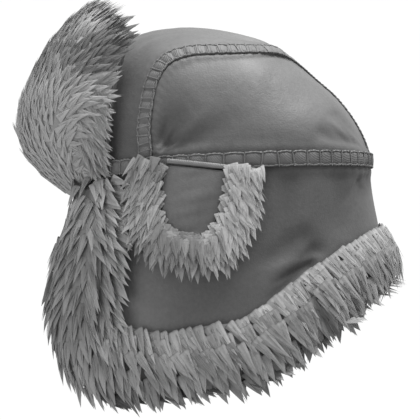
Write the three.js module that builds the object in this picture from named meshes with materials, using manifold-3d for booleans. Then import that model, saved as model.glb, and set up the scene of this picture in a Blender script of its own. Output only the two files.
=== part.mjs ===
// Fur-trimmed ushanka in the form it has when worn, in millimetres, +Z up, the brow facing -Y.
// The origin is the middle of the head opening, level with the seam between crown and skirt.
import * as THREE from "three";
import { mergeVertices } from "three/addons/utils/BufferGeometryUtils.js";
import Module from "manifold-3d";

const wasm = await Module();
wasm.setup();

// Head opening and crown, measured outside the cloth
const halfWidth = 88;
const halfLength = 107;
const crownHeight = 104;
const plainRound = 0.92; // exponent of the plan outline: 1 is an ellipse, less is squarer
const clothWall = 2.5;
const pieceGap = 0.3; // clear space between neighbouring pieces
const seamRise = 4.5; // how much the seam under the crown climbs from the middle to the nape
const seamFade = 45; // height over which that climb dies out in the cloth
const foldDepth = 3;
const foldWidth = 9;

// Skirt that hangs from the crown: ear flaps at the sides, neck at the back
const earDrop = 114; // from the crown seam to the lowest cloth edge
const flapRound = 0.62; // squarer plan of the ear flaps in front of the ears
const squareStart = 8; // the plan changes between these two depths
const squareDrop = 60;
const sideFlare = 3;
const napeFlare = 4.5;
const napeTuck = 4; // the seam at the nape lies this far in front of a plain oval
const browDrop = 20;
const frontQuarter = 90; // turn in degrees at which the front edge's pull has died out

// Seam tapes that carry the ladder stitching
const tapeWidth = 9;
const tapeWall = 1.2;

// Front flap turned up against the crown
const flapFoldTurn = 43; // half of the angle that it spans at its fold
const flapTopTurn = 50; // and at its upper corners
const flapMiddleTop = 113;
const flapEndTop = 76;
const flapEndBottom = -2;
const flapWall = 3;
const flapStandoff = 3.5; // hollow between the crown and the raised flap
const flapLean = 12; // how far the upper edge leans back over the crown
const flapFurDepth = 41;
const flapTopRound = 2.5; // exponent of the curve of its upper edge
const flapFoldRound = 4; // exponent of the curve of its fold
const flapFurEndLoss = 0.5; // share of the fur's depth that is lost at each end

// Fur trim along the ear flaps and the neck
const trimWidth = 40;
const trimLap = 5; // width of the strip that laps over the cloth edge
const trimOut = 12; // thickness outside the cloth
const trimIn = 6; // thickness inside the cloth
const trimStartShare = 0.17; // where it starts on the ear flap's front edge
const trimStartWidth = 0.45; // share of its width where it starts
const trimCornerMore = 0.25; // share of its width that it gains round the ear flap's corner
const trimCornerSpread = 0.05; // share of the cloth's edge over which it gains that
const edgeLegShare = 0.16; // share of the cloth's edge that runs down each front edge

// Ear patch: a cloth shield inside a U of fur
const patchCentreY = -22;
const patchTopDrop = 4;
const patchTilt = 9; // degrees that the upper edge falls towards the back
const patchHalfWidth = 19;
const patchHeight = 42;
const patchDome = 2;
const patchTaper = 0.72; // share of its width that the shield loses down to its foot
const patchRound = 0.7; // exponent of the U: 1 is an ellipse, less is squarer
const patchFurWidth = 19;
const patchFurDepth = 9;
const bindingWidth = 3;
const bindingWall = 2.6;
const bindingClear = 4 * pieceGap; // from the binding to the shield's upper edge

// Fur tufts
const tuftLength = 17;
const tuftRadius = 5.5;
const tuftSides = 3;
const tuftSink = 2.5;
const smallTuft = 0.75; // share of the full tuft on the front flap and the ear patches

// Bends of the cloth, and rows of tufts
const crownSteps = 28;
const centreColumns = 8;
const sideColumns = 5;
const skirtColumns = 44;
const skirtRows = 7;
const browColumns = 14;
const browRows = 2;
const bandSteps = 56;
const flapColumns = 16;
const flapRows = 7;
const flapTuftRows = 7;
const flapTuftsInRow = 9;
const patchColumns = 6;
const patchRows = 5;
const patchFurSteps = 16;
const patchTuftsInRow = 10;
const bindingSteps = 6;

const clothBelowTape = 2 * pieceGap;
const overTape = clothBelowTape + tapeWall + 2 * pieceGap;

// Crown midline from brow to nape. along and up are shares of halfLength and crownHeight,
// seam is the share of halfWidth at which the long crown seam runs there.
const crownStations = [
  { along: -1.0, up: 0.0, seam: 0.88 },
  { along: -1.0, up: 0.17, seam: 0.88 },
  { along: -0.97, up: 0.38, seam: 0.865 },
  { along: -0.89, up: 0.6, seam: 0.845 },
  { along: -0.77, up: 0.825, seam: 0.815 },
  { along: -0.61, up: 0.96, seam: 0.785 },
  { along: -0.39, up: 0.995, seam: 0.755 },
  { along: -0.14, up: 0.98, seam: 0.73 },
  { along: 0.06, up: 0.945, seam: 0.69 },
  { along: 0.24, up: 0.885, seam: 0.6 },
  { along: 0.39, up: 0.772, seam: 0.34 },
  { along: 0.565, up: 0.625, seam: 0.15 },
  { along: 0.725, up: 0.485, seam: 0.105 },
  { along: 0.83, up: 0.345, seam: 0.1 },
  { along: 0.905, up: 0.19, seam: 0.1 },
  { along: 1 - napeTuck / halfLength, up: 0.0, seam: 0.1 },
];

// Folds seen from the side, the same on both sides. y is a share of halfLength, z of crownHeight
// above the seam and of earDrop below it; deep and wide are shares of foldDepth and foldWidth.
const folds = [
  { y: -0.42, z: 0.08, toY: -0.22, toZ: 0.38, deep: 1.0, wide: 1.0 },
  { y: -0.34, z: 0.08, toY: 0.1, toZ: 0.3, deep: 0.8, wide: 1.1 },
  { y: 0.66, z: 0.3, toY: 0.88, toZ: 0.1, deep: 0.7, wide: 0.6 },
  { y: 0.55, z: 0.16, toY: 0.84, toZ: 0.06, deep: 0.6, wide: 0.6 },
  { y: 0.92, z: -0.1, toY: 0.78, toZ: -0.22, deep: 0.7, wide: 0.5 },
  { y: 0.47, z: -0.5, toY: 0.22, toZ: -0.72, deep: 1.0, wide: 0.6 },
  { y: 0.4, z: -0.42, toY: 0.1, toZ: -0.6, deep: 0.8, wide: 0.8 },
  { y: 0.68, z: -0.14, toY: 0.66, toZ: -0.44, deep: 0.7, wide: 1.2 },
];

// Front edge of each ear flap: turn in degrees from the brow at each share of earDrop
const frontEdge = [
  { drop: 0.0, turn: 43 },
  { drop: 0.14, turn: 43.5 },
  { drop: 0.3, turn: 49 },
  { drop: 0.46, turn: 54 },
  { drop: 0.6, turn: 53 },
  { drop: 0.8, turn: 51.5 },
  { drop: 1.0, turn: 51 },
];

// Lower edge of the skirt from the ear flap's front corner to the middle of the neck
const hem = [
  { turn: 43, drop: 0.87 },
  { turn: 47, drop: 0.915 },
  { turn: 54, drop: 0.955 },
  { turn: 64, drop: 0.98 },
  { turn: 78, drop: 0.985 },
  { turn: 90, drop: 0.93 },
  { turn: 100, drop: 0.82 },
  { turn: 111, drop: 0.68 },
  { turn: 126, drop: 0.54 },
  { turn: 144, drop: 0.445 },
  { turn: 162, drop: 0.42 },
  { turn: 180, drop: 0.415 },
];

// Thickness of the front flap's fur as a share of flapFurDepth, from its fold to its top
const flapFurProfile = [
  { rise: 0.0, depth: 0.14 },
  { rise: 0.1, depth: 0.58 },
  { rise: 0.2, depth: 0.86 },
  { rise: 0.33, depth: 1.0 },
  { rise: 0.5, depth: 0.98 },
  { rise: 0.66, depth: 0.9 },
  { rise: 0.8, depth: 0.76 },
  { rise: 0.92, depth: 0.5 },
  { rise: 1.0, depth: 0.2 },
];

// Section of the fur trim: side is a share of trimWidth away from the cloth edge,
// out a share of trimOut, or of trimIn where it is negative
const trimSection = [
  { side: 0.25, out: 1.0 },
  { side: 0.68, out: 0.92 },
  { side: 0.96, out: 0.3 },
  { side: 0.9, out: -0.7 },
  { side: 0.4, out: -1.0 },
];

// Rows of tufts on the trim: side and out as in its section, away is how far they point from
// the cloth, scale is a share of the full tuft
const trimTufts = [
  { side: 0.15, out: 0.75, away: 0.9, count: 32, scale: 1.1 },
  { side: 0.55, out: 0.9, away: 1.1, count: 31, scale: 1.1 },
  { side: 0.86, out: 0.2, away: 2.2, count: 38, scale: 1.0 },
];

const radians = THREE.MathUtils.degToRad;
const mix = THREE.MathUtils.lerp;
const ease = (x) => THREE.MathUtils.smoothstep(x, 0, 1);
const power = (value, exponent) => Math.sign(value) * Math.abs(value) ** exponent;

// Straight-line reading of a table: the value of column at a given key
function readTable(rows, key, column, at) {
  const next = rows.findIndex((row) => row[key] >= at);
  if (next <= 0) return rows[next === 0 ? 0 : rows.length - 1][column];
  const low = rows[next - 1];
  const high = rows[next];
  return mix(low[column], high[column], (at - low[key]) / (high[key] - low[key]));
}

// Closed geometry from points and faces of three or four corners, turned to face outwards
function closedGeometry(points, faces) {
  const halves = ([a, b, c, d]) => [[a, b, c], [a, c, d]];
  const triangles = faces.flatMap((face) => (face.length === 3 ? [face] : halves(face)));
  const loose = new THREE.BufferGeometry().setFromPoints(points);
  loose.setIndex(triangles.flat());
  const merged = mergeVertices(loose, 1e-3);
  const place = merged.getAttribute("position");
  const old = merged.getIndex().array;
  const corner = (i) => new THREE.Vector3().fromBufferAttribute(place, i);
  const kept = [];
  let volume = 0;
  for (let i = 0; i < old.length; i += 3) {
    const [a, b, c] = [old[i], old[i + 1], old[i + 2]];
    if (a === b || b === c || c === a) continue;
    kept.push([a, b, c]);
    volume += corner(a).dot(corner(b).cross(corner(c)));
  }
  merged.setIndex(kept.flatMap(([a, b, c]) => (volume > 0 ? [a, b, c] : [a, c, b])));
  return merged;
}

// Wall between two grids of points, outer(u, v) and inner(u, v); a ring closes on itself in u
function wallGeometry(uSteps, vSteps, outer, inner, ring = false) {
  const points = [];
  const faces = [];
  const columns = ring ? uSteps : uSteps + 1;
  const at = (i, j, side) => ((i % columns) * (vSteps + 1) + j) * 2 + side;
  for (let i = 0; i < columns; i += 1) {
    for (let j = 0; j <= vSteps; j += 1) {
      points.push(outer(i / uSteps, j / vSteps), inner(i / uSteps, j / vSteps));
    }
  }
  for (let i = 0; i < uSteps; i += 1) {
    for (let j = 0; j < vSteps; j += 1) {
      faces.push([at(i, j, 0), at(i + 1, j, 0), at(i + 1, j + 1, 0), at(i, j + 1, 0)]);
      faces.push([at(i, j, 1), at(i, j + 1, 1), at(i + 1, j + 1, 1), at(i + 1, j, 1)]);
    }
    faces.push([at(i, 0, 1), at(i + 1, 0, 1), at(i + 1, 0, 0), at(i, 0, 0)]);
    faces.push([at(i, vSteps, 0), at(i + 1, vSteps, 0), at(i + 1, vSteps, 1), at(i, vSteps, 1)]);
  }
  for (let j = 0; j < vSteps && !ring; j += 1) {
    faces.push([at(0, j, 0), at(0, j + 1, 0), at(0, j + 1, 1), at(0, j, 1)]);
    faces.push([at(uSteps, j, 1), at(uSteps, j + 1, 1), at(uSteps, j + 1, 0), at(uSteps, j, 0)]);
  }
  return closedGeometry(points, faces);
}

// Frame on a surface path: point(s, lift, shift) gives the path at a height above the surface,
// shifted sideways on the surface
function frameAt(point, s, step = 0.002) {
  const low = Math.max(s - step, 0);
  const high = Math.min(s + step, 1);
  const at = point(s, 0, 0);
  const tangent = point(high, 0, 0).sub(point(low, 0, 0)).normalize();
  const across = point(s, 0, 0.5).sub(point(s, 0, -0.5));
  const out = new THREE.Vector3().crossVectors(tangent, across).normalize();
  if (out.dot(point(s, 1, 0).sub(at)) < 0) out.negate();
  const side = new THREE.Vector3().crossVectors(tangent, out).normalize();
  return { at, tangent, side, out };
}

// Strip whose section, a list of [side, out] corners in anticlockwise order, may change on the way
function stripGeometry(frames, section) {
  const points = [];
  const faces = [];
  const loops = frames.map((frame, i) => section(i / (frames.length - 1)));
  const count = loops[0].length;
  frames.forEach((frame, i) => {
    for (const [side, out] of loops[i]) {
      points.push(frame.at.clone().addScaledVector(frame.side, side).addScaledVector(frame.out, out));
    }
  });
  for (let i = 0; i + 1 < frames.length; i += 1) {
    for (let j = 0; j < count; j += 1) {
      const k = (j + 1) % count;
      faces.push([i * count + j, i * count + k, (i + 1) * count + k, (i + 1) * count + j]);
    }
  }
  const last = (frames.length - 1) * count;
  const flat = loops[0].map(([side, out]) => new THREE.Vector2(side, out));
  for (const [a, b, c] of THREE.ShapeUtils.triangulateShape(flat, [])) {
    faces.push([c, b, a], [last + a, last + b, last + c]);
  }
  return closedGeometry(points, faces);
}

// Pointed lock of fur that rises from a point on a backing
function tuftGeometry(root, direction, scale) {
  const lock = new THREE.ConeGeometry(tuftRadius * scale, tuftLength * scale, tuftSides);
  lock.translate(0, (tuftLength * scale) / 2 - tuftSink, 0);
  lock.applyQuaternion(new THREE.Quaternion().setFromUnitVectors(new THREE.Vector3(0, 1, 0), direction));
  lock.translate(root.x, root.y, root.z);
  return lock;
}

// Solid for joining, from a closed geometry
function toManifold(geometry) {
  const plain = geometry.clone();
  plain.deleteAttribute("normal");
  plain.deleteAttribute("uv");
  const merged = mergeVertices(plain, 1e-3);
  const vertProperties = new Float32Array(merged.getAttribute("position").array);
  const triVerts = new Uint32Array(merged.getIndex().array);
  return new wasm.Manifold(new wasm.Mesh({ numProp: 3, vertProperties, triVerts }));
}

// One fur solid: a backing with its locks joined to it
function furGeometry(backing, locks) {
  const joined = wasm.Manifold.union([backing, ...locks].map(toManifold));
  const mesh = joined.getMesh();
  const geometry = new THREE.BufferGeometry();
  geometry.setAttribute("position", new THREE.BufferAttribute(mesh.vertProperties, 3));
  geometry.setIndex(new THREE.BufferAttribute(mesh.triVerts, 1));
  return geometry;
}

// Climb of the cloth near the seam under the crown
function seamClimb(y, height) {
  return seamRise * (y / halfLength) * ease(1 - height / seamFade);
}

// Depth of the folds at a place on the side of the hat
function foldAt(y, z) {
  const height = z > 0 ? crownHeight : earDrop;
  const here = new THREE.Vector3(0, y, z);
  const nearest = new THREE.Vector3();
  let depth = 0;
  for (const fold of folds) {
    const start = new THREE.Vector3(0, fold.y * halfLength, fold.z * height);
    const end = new THREE.Vector3(0, fold.toY * halfLength, fold.toZ * height);
    const line = new THREE.Line3(start, end);
    line.closestPointToPoint(here, true, nearest);
    const share = nearest.distanceTo(here) / (foldWidth * fold.wide);
    depth += foldDepth * fold.deep * Math.exp(-share * share);
  }
  return depth;
}

const crownLine = new THREE.CatmullRomCurve3(
  crownStations.map((row) => new THREE.Vector3(row.seam, row.along, row.up)),
);

// Lean of the long crown seam at t, moved sideways by a distance on the cloth
function seamLean(t, shift) {
  const share = crownLine.getPoint(t).x + shift / halfWidth;
  return THREE.MathUtils.radToDeg(Math.asin(share ** (1 / plainRound)));
}

// Point on the crown: t runs from brow to nape, lean from the right side (-90) to the left (90)
function crownPoint(t, lean, lift) {
  const station = crownLine.getPoint(t);
  const across = power(Math.sin(radians(lean)), plainRound);
  const inside = power(Math.max(Math.cos(radians(lean)), 0), plainRound);
  const rise = station.z * inside;
  const y = station.y * halfLength * inside;
  const fromSeam = radians(Math.abs(lean) - seamLean(t, 0)) * halfLength;
  const flank = ease((fromSeam - tapeWidth / 2) / tapeWidth);
  const clear = ease((rise * crownHeight - tapeWidth / 2) / tapeWidth);
  const reach = lift - foldAt(y, rise * crownHeight) * flank * clear;
  return new THREE.Vector3(
    (halfWidth + reach) * across,
    station.y * (halfLength + reach) * inside,
    rise * (crownHeight + reach) + pieceGap / 2 + seamClimb(y, rise * crownHeight),
  );
}

// Roundness of the front half of the skirt's plan at a depth
function frontRound(drop) {
  return mix(plainRound, flapRound, ease((drop - squareStart) / (squareDrop - squareStart)));
}

// Point on the skirt at a turn in degrees from the brow and a drop below the seam
function skirtPoint(turn, drop, lift) {
  const sine = Math.sin(radians(turn));
  const cosine = Math.cos(radians(turn));
  const front = cosine > 0;
  const round = front ? frontRound(drop) : plainRound;
  const flare = front ? 0 : mix(-napeTuck, napeFlare, ease(drop / squareDrop));
  const y = -halfLength * power(cosine, round);
  const flank = ease((Math.abs(sine) - 0.2) / 0.3) * ease((drop - tapeWidth / 2) / tapeWidth);
  const reach = lift - foldAt(y, -drop) * flank;
  return new THREE.Vector3(
    (halfWidth + sideFlare * ease(drop / earDrop) + reach) * power(sine, round),
    -(halfLength + flare + reach) * power(cosine, round),
    -drop - pieceGap / 2 + seamClimb(y, drop),
  );
}

// The skirt's cloth between its front edges: u runs round the back, v from the seam to the hem
function skirtTurnAndDrop(u, v) {
  const firstTurn = frontEdge[0].turn;
  const turn = mix(firstTurn, 360 - firstTurn, u);
  const fromBrow = Math.min(turn, 360 - turn);
  const drop = readTable(hem, "turn", "drop", fromBrow) * earDrop * v;
  const pull = readTable(frontEdge, "drop", "turn", drop / earDrop) - firstTurn;
  const fade = 1 - ease((fromBrow - firstTurn) / (frontQuarter - firstTurn));
  return { turn: turn + Math.sign(180 - turn) * pull * fade, drop };
}

function skirtCloth(u, v, lift) {
  const { turn, drop } = skirtTurnAndDrop(u, v);
  return skirtPoint(turn, drop, lift);
}

// Path of the skirt's free edge, from the left ear flap's front edge round the neck to the right
function edgePoint(s, lift, shift) {
  const fromEnd = Math.min(s, 1 - s);
  const left = s < 0.5;
  if (fromEnd < edgeLegShare) {
    const v = mix(trimStartShare, 1, fromEnd / edgeLegShare);
    const { turn, drop } = skirtTurnAndDrop(left ? 0 : 1, v);
    return skirtPoint(turn + shift, drop, lift);
  }
  const along = (0.5 * (fromEnd - edgeLegShare)) / (0.5 - edgeLegShare);
  const { turn, drop } = skirtTurnAndDrop(left ? along : 1 - along, 1);
  return skirtPoint(turn, drop + shift, lift);
}

// Height of the fold between the brow and the raised flap, share running from the middle to its end
function foldHeight(share) {
  return mix(-browDrop, flapEndBottom, Math.abs(share) ** flapFoldRound);
}

// Raised front flap: across runs from its right end (-1) to its left (1), rise from fold to top
function flapPoint(across, rise, lift) {
  const top = mix(flapEndTop, flapMiddleTop, Math.sqrt(1 - Math.abs(across) ** flapTopRound));
  const z = mix(foldHeight(across), top, rise);
  const turn = radians(across * mix(flapFoldTurn, flapTopTurn, rise));
  const lean = flapLean * ease((z / flapMiddleTop - 0.3) / 0.7);
  return new THREE.Vector3(
    (halfWidth + lift - lean) * power(Math.sin(turn), plainRound),
    -(halfLength + lift - lean) * power(Math.cos(turn), plainRound),
    z,
  );
}

// Point on the ear patch: a runs back and b down from the middle of its upper edge
function patchPoint(side, a, b, lift) {
  const tilt = radians(patchTilt);
  const y = patchCentreY + a * Math.cos(tilt) - b * Math.sin(tilt);
  const drop = patchTopDrop + a * Math.sin(tilt) + b * Math.cos(tilt);
  const round = y < 0 ? frontRound(drop) : plainRound;
  const cosine = -power(y / halfLength, 1 / round);
  const turn = THREE.MathUtils.radToDeg(Math.acos(cosine));
  const point = skirtPoint(turn, Math.max(drop, 0), lift);
  return new THREE.Vector3(side * point.x, point.y, point.z + Math.max(-drop, 0));
}

// Path round the U of fur on an ear patch, through the middle of the fur
function patchPath(side) {
  const width = patchHalfWidth + 2 * pieceGap + patchFurWidth / 2;
  const height = patchHeight + 2 * pieceGap + patchFurWidth / 2;
  return (s, lift, shift) => {
    const q = Math.PI * s;
    const a = -(width + shift) * power(Math.cos(q), patchRound);
    const b = (height + shift) * power(Math.sin(q), patchRound);
    return patchPoint(side, a, b, lift + overTape);
  };
}

function crownCentrePanel() {
  const edge = -pieceGap / 2;
  const face = (lift) => (u, v) => crownPoint(u, mix(-1, 1, v) * seamLean(u, edge), lift);
  return wallGeometry(crownSteps, centreColumns, face(0), face(-clothWall));
}

function crownSidePanel(side) {
  const edge = pieceGap / 2;
  const face = (lift) => (u, v) => crownPoint(u, side * mix(seamLean(u, edge), 90, v), lift);
  return wallGeometry(crownSteps, sideColumns, face(0), face(-clothWall));
}

function skirtPanel() {
  const face = (lift) => (u, v) => skirtCloth(u, v, lift);
  return wallGeometry(skirtColumns, skirtRows, face(0), face(-clothWall));
}

function browPanel() {
  const gapTurn = THREE.MathUtils.radToDeg(pieceGap / halfWidth);
  const end = frontEdge[0].turn - gapTurn;
  const turnAt = (u) => mix(-end, end, u);
  const face = (lift) => (u, v) => skirtPoint(turnAt(u), -v * foldHeight(turnAt(u) / flapFoldTurn), lift);
  return wallGeometry(browColumns, browRows, face(0), face(-clothWall));
}

// Flat strip that lies just above the cloth
function tapeSection() {
  const half = tapeWidth / 2;
  const low = clothBelowTape;
  const high = low + tapeWall;
  return [[-half, low], [half, low], [half, high], [-half, high]];
}

// Tape along a long crown seam, bent at the same stations as the panels under it
function crownSeamTape(side) {
  const path = (t, lift, shift) => crownPoint(t, side * (seamLean(t, 0) + shift), lift);
  const clear = (t) => {
    const point = path(t, 0, 0);
    return point.z - seamClimb(point.y, 0) > tapeWidth / 2 + 2 * pieceGap;
  };
  const fine = 20; // tries within each step, to find where the tape's ends meet the band
  const tries = Array.from({ length: crownSteps * fine + 1 }, (_, i) => i);
  const bends = tries.filter((i) => clear(i / crownSteps / fine));
  const first = bends[0];
  const last = bends.at(-1);
  const kept = bends.filter((i) => i % fine === 0 && i > first && i < last);
  const stations = [first, ...kept, last].map((i) => i / crownSteps / fine);
  return stripGeometry(stations.map((t) => frameAt(path, t)), tapeSection);
}

function bandTape() {
  const half = tapeWidth / 2;
  const face = (lift) => (u, v) => {
    const point = skirtPoint(360 * u, 0, lift);
    point.z += pieceGap / 2 + mix(half, -half, v);
    return point;
  };
  return wallGeometry(bandSteps, 1, face(clothBelowTape + tapeWall), face(clothBelowTape), true);
}

// Cloth back of the front flap, turned in at its fold to meet the brow
function frontFlapBacking() {
  const outer = (u, v) => flapPoint(mix(-1, 1, u), v, flapStandoff + flapWall);
  const inner = (u, v) => flapPoint(mix(-1, 1, u), v, v > 0 ? flapStandoff : overTape);
  return wallGeometry(flapColumns, flapRows, outer, inner);
}

function frontFlapFur() {
  const base = flapStandoff + flapWall + 2 * pieceGap;
  const depthAt = (across, rise) => {
    const sideFade = (1 - flapFurEndLoss * across ** 2) * Math.sqrt(1 - 0.9 * across ** 8);
    return flapFurDepth * readTable(flapFurProfile, "rise", "depth", rise) * sideFade;
  };
  const outer = (u, v) => flapPoint(mix(-1, 1, u), v, base + depthAt(mix(-1, 1, u), v));
  const inner = (u, v) => flapPoint(mix(-1, 1, u), v, base);
  const backing = wallGeometry(flapColumns, flapRows, outer, inner);
  const locks = [];
  for (let row = 0; row < flapTuftRows; row += 1) {
    const rise = mix(0.12, 0.97, row / (flapTuftRows - 1));
    const count = flapTuftsInRow + (row % 2);
    for (let i = 0; i < count; i += 1) {
      const u = mix(0.03, 0.97, i / (count - 1));
      const root = outer(u, rise);
      const away = root.clone().sub(inner(u, rise)).normalize();
      const lift = new THREE.Vector3(0, 0, mix(-0.5, 0.9, rise));
      locks.push(tuftGeometry(root, away.add(lift).normalize(), smallTuft));
    }
  }
  return furGeometry(backing, locks);
}

// Width of the fur trim along its path: narrower where it starts under the front flap,
// wider round the ear flap's corner
function trimShare(s) {
  const fromEnd = Math.min(s, 1 - s);
  const corner = (fromEnd - edgeLegShare) / trimCornerSpread;
  const grown = mix(trimStartWidth, 1, ease(fromEnd / (0.6 * edgeLegShare)));
  return grown + trimCornerMore * Math.exp(-corner * corner);
}

function trimLoop(s) {
  const width = trimWidth * trimShare(s);
  const clear = 2 * pieceGap;
  const lap = [[-trimLap, clear], [-0.7 * trimLap, 0.45 * trimOut]];
  const body = trimSection.map(({ side, out }) => [side * width, out * (out > 0 ? trimOut : trimIn)]);
  return [...lap, ...body, [clear, -clothWall], [clear, clear]].reverse();
}

// Stations along the trim: where it starts, the rows of the front edge, the columns of the hem
function trimStations() {
  const rows = Array.from({ length: skirtRows }, (_, i) => i / skirtRows);
  const kept = [trimStartShare, ...rows.filter((v) => v > trimStartShare)];
  const leg = kept.map((v) => (edgeLegShare * (v - trimStartShare)) / (1 - trimStartShare));
  const middle = skirtColumns / 2;
  const bottom = Array.from({ length: middle }, (_, i) => mix(edgeLegShare, 0.5, i / middle));
  const half = [...leg, ...bottom];
  return [...half, 0.5, ...half.map((s) => 1 - s).reverse()];
}

function skirtFurTrim() {
  const stations = trimStations();
  const frames = stations.map((s) => frameAt(edgePoint, s, 0.006));
  const section = (share) => trimLoop(stations[Math.round(share * (stations.length - 1))]);
  const backing = stripGeometry(frames, section);
  const locks = trimTufts.flatMap((row) =>
    Array.from({ length: row.count }, (_, i) => {
      const s = mix(0.02, 0.98, (i + 0.5) / row.count);
      const frame = frameAt(edgePoint, s, 0.006);
      const root = frame.at.clone().addScaledVector(frame.side, row.side * trimWidth * trimShare(s));
      root.addScaledVector(frame.out, row.out * trimOut);
      const direction = frame.out.clone().addScaledVector(frame.side, row.away);
      direction.z -= 0.5;
      return tuftGeometry(root, direction.normalize(), row.scale * mix(smallTuft, 1, trimShare(s)));
    }),
  );
  return furGeometry(backing, locks);
}

function patchPanel(side) {
  const shape = (v) => patchHalfWidth * (1 - patchTaper * v ** 3);
  const face = (lift) => (u, v) => {
    const across = mix(-1, 1, u);
    const dome = patchDome * (1 - across ** 2) * Math.sin(Math.PI * v);
    return patchPoint(side, across * shape(v), v * patchHeight, lift + dome);
  };
  return wallGeometry(patchColumns, patchRows, face(overTape + clothWall), face(overTape));
}

function patchFur(side) {
  const path = patchPath(side);
  const half = patchFurWidth / 2;
  const section = () => [
    [-half, 0],
    [half, 0],
    [half, 0.5 * patchFurDepth],
    [0.5 * half, patchFurDepth],
    [-0.5 * half, patchFurDepth],
    [-half, 0.5 * patchFurDepth],
  ];
  const stations = Array.from({ length: patchFurSteps + 1 }, (_, i) => i / patchFurSteps);
  const frames = stations.map((s) => frameAt(path, s, 0.01));
  const backing = stripGeometry(frames, section);
  const locks = [];
  for (const across of [-0.45, 0.45]) {
    for (let i = 0; i < patchTuftsInRow; i += 1) {
      const frame = frameAt(path, mix(0.04, 0.96, i / (patchTuftsInRow - 1)), 0.01);
      const root = frame.at.clone().addScaledVector(frame.side, across * half);
      root.addScaledVector(frame.out, patchFurDepth);
      const direction = frame.out.clone().add(new THREE.Vector3(0, 0, -1.2));
      locks.push(tuftGeometry(root, direction.normalize(), smallTuft));
    }
  }
  return furGeometry(backing, locks);
}

function patchBinding(side) {
  const end = patchHalfWidth + patchFurWidth;
  const middle = -bindingWidth / 2 - bindingClear;
  const along = (s) => mix(-patchHalfWidth, end, s);
  const path = (s, lift, shift) => patchPoint(side, along(s), middle + shift, lift + overTape);
  const half = bindingWidth / 2;
  const section = () => [[-half, 0], [half, 0], [half, bindingWall], [-half, bindingWall]];
  const frames = Array.from({ length: bindingSteps + 1 }, (_, i) => frameAt(path, i / bindingSteps));
  return stripGeometry(frames, section);
}

const hat = new THREE.Group();

function add(name, geometry, material) {
  const mesh = new THREE.Mesh(geometry, material.clone());
  mesh.name = name;
  hat.add(mesh);
}

function finish(color, roughness) {
  return new THREE.MeshStandardMaterial({ color, roughness, metalness: 0 });
}

const crownCloth = finish(0x8f8f8f, 0.62);
const skirtClothFinish = finish(0x5c5c5c, 0.7);
const tapeCloth = finish(0x7a7a7a, 0.7);
const bindingCloth = finish(0x9c9c9c, 0.6);
const fur = finish(0x7e7e7e, 0.85);

add("crown_centre_panel", crownCentrePanel(), crownCloth);
add("skirt_panel", skirtPanel(), skirtClothFinish);
add("brow_panel", browPanel(), skirtClothFinish);
add("band_seam_tape", bandTape(), tapeCloth);
add("front_flap_backing", frontFlapBacking(), crownCloth);
add("front_flap_fur", frontFlapFur(), fur);
add("skirt_fur_trim", skirtFurTrim(), fur);
for (const [label, side] of [["left", 1], ["right", -1]]) {
  add(`crown_side_panel_${label}`, crownSidePanel(side), crownCloth);
  add(`crown_seam_tape_${label}`, crownSeamTape(side), tapeCloth);
  add(`ear_patch_${label}`, patchPanel(side), skirtClothFinish);
  add(`ear_patch_fur_${label}`, patchFur(side), fur);
  add(`ear_patch_binding_${label}`, patchBinding(side), bindingCloth);
}

export default hat;
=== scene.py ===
# Ushanka in soft grey cloth with ladder-stitched seams, a raised fur front flap, fur-edged
# ear flaps and neck, and fur-ringed ear patches, held in the form it has when worn.
# Shapes are worked out in millimetres, +Z up, the brow facing -Y, and stored in metres.
import math

import bpy
import numpy as np
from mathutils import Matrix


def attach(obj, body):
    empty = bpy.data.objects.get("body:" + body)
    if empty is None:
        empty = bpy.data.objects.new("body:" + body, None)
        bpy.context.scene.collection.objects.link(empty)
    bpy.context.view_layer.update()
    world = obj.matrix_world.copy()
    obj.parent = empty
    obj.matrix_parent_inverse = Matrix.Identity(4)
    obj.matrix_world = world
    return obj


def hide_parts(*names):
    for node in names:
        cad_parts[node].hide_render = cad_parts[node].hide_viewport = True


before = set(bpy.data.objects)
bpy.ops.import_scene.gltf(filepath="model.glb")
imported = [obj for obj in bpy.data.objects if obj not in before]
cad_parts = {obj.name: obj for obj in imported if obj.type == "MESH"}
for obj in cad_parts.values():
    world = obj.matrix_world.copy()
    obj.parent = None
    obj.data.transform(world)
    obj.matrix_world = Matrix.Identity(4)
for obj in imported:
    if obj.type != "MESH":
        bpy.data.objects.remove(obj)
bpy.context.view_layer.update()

MM = 0.001
SIDES = [("left", 1), ("right", -1)]
DOWN = np.array([0, 0, -1.0])

# Head opening and crown
HALF_WIDTH = 88
HALF_LENGTH = 107
CROWN_HEIGHT = 104
PLAIN_ROUND = 0.92
CLOTH_WALL = 2.5
PIECE_GAP = 0.3
SEAM_RISE = 4.5
SEAM_FADE = 45
FOLD_DEPTH = 3
FOLD_WIDTH = 9
CROWN_LINE_LENGTH = 300

# Skirt
EAR_DROP = 114
FLAP_ROUND = 0.62
SQUARE_START = 8
SQUARE_DROP = 60
SIDE_FLARE = 3
NAPE_FLARE = 4.5
NAPE_TUCK = 4
BROW_DROP = 20

# Soft waves in the cloth: height, shortest and longest wave
CROWN_WAVES = (0.45, 40, 110)
SKIRT_WAVES = (0.6, 35, 90)
PATCH_WAVES = (0.35, 8, 22)
FINE_WAVES = (0.05, 9, 22)
WAVE_COUNT = 14
SKIRT_SEED = 3

# Seams: a tape puffed into cells between two threads, with rungs of thread across it
TAPE_WIDTH = 9
TAPE_WALL = 1.2
CELL_PUFF = 1.0
EDGE_THREAD = 0.75
EDGE_TWIST = 3.2
EDGE_WAVE = 0.6
THREAD_SIDES = 8
RUNG_THREAD = 0.6
RUNG_STEPS = 9
RUNG_SIDES = 6
RUNG_LEAN = 0.1
RUNG_LIFT = 0.15
RUNG_ARCH = 0.35
BAND_PITCH = 9.4
CROWN_PITCH = 7.2
PILLOW_HEIGHT = 1.4
PILLOW_PLACE = 7.2
PILLOW_WIDTH = 3.4
PINCH_DEPTH = 0.5
PINCH_REACH = 5

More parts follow.
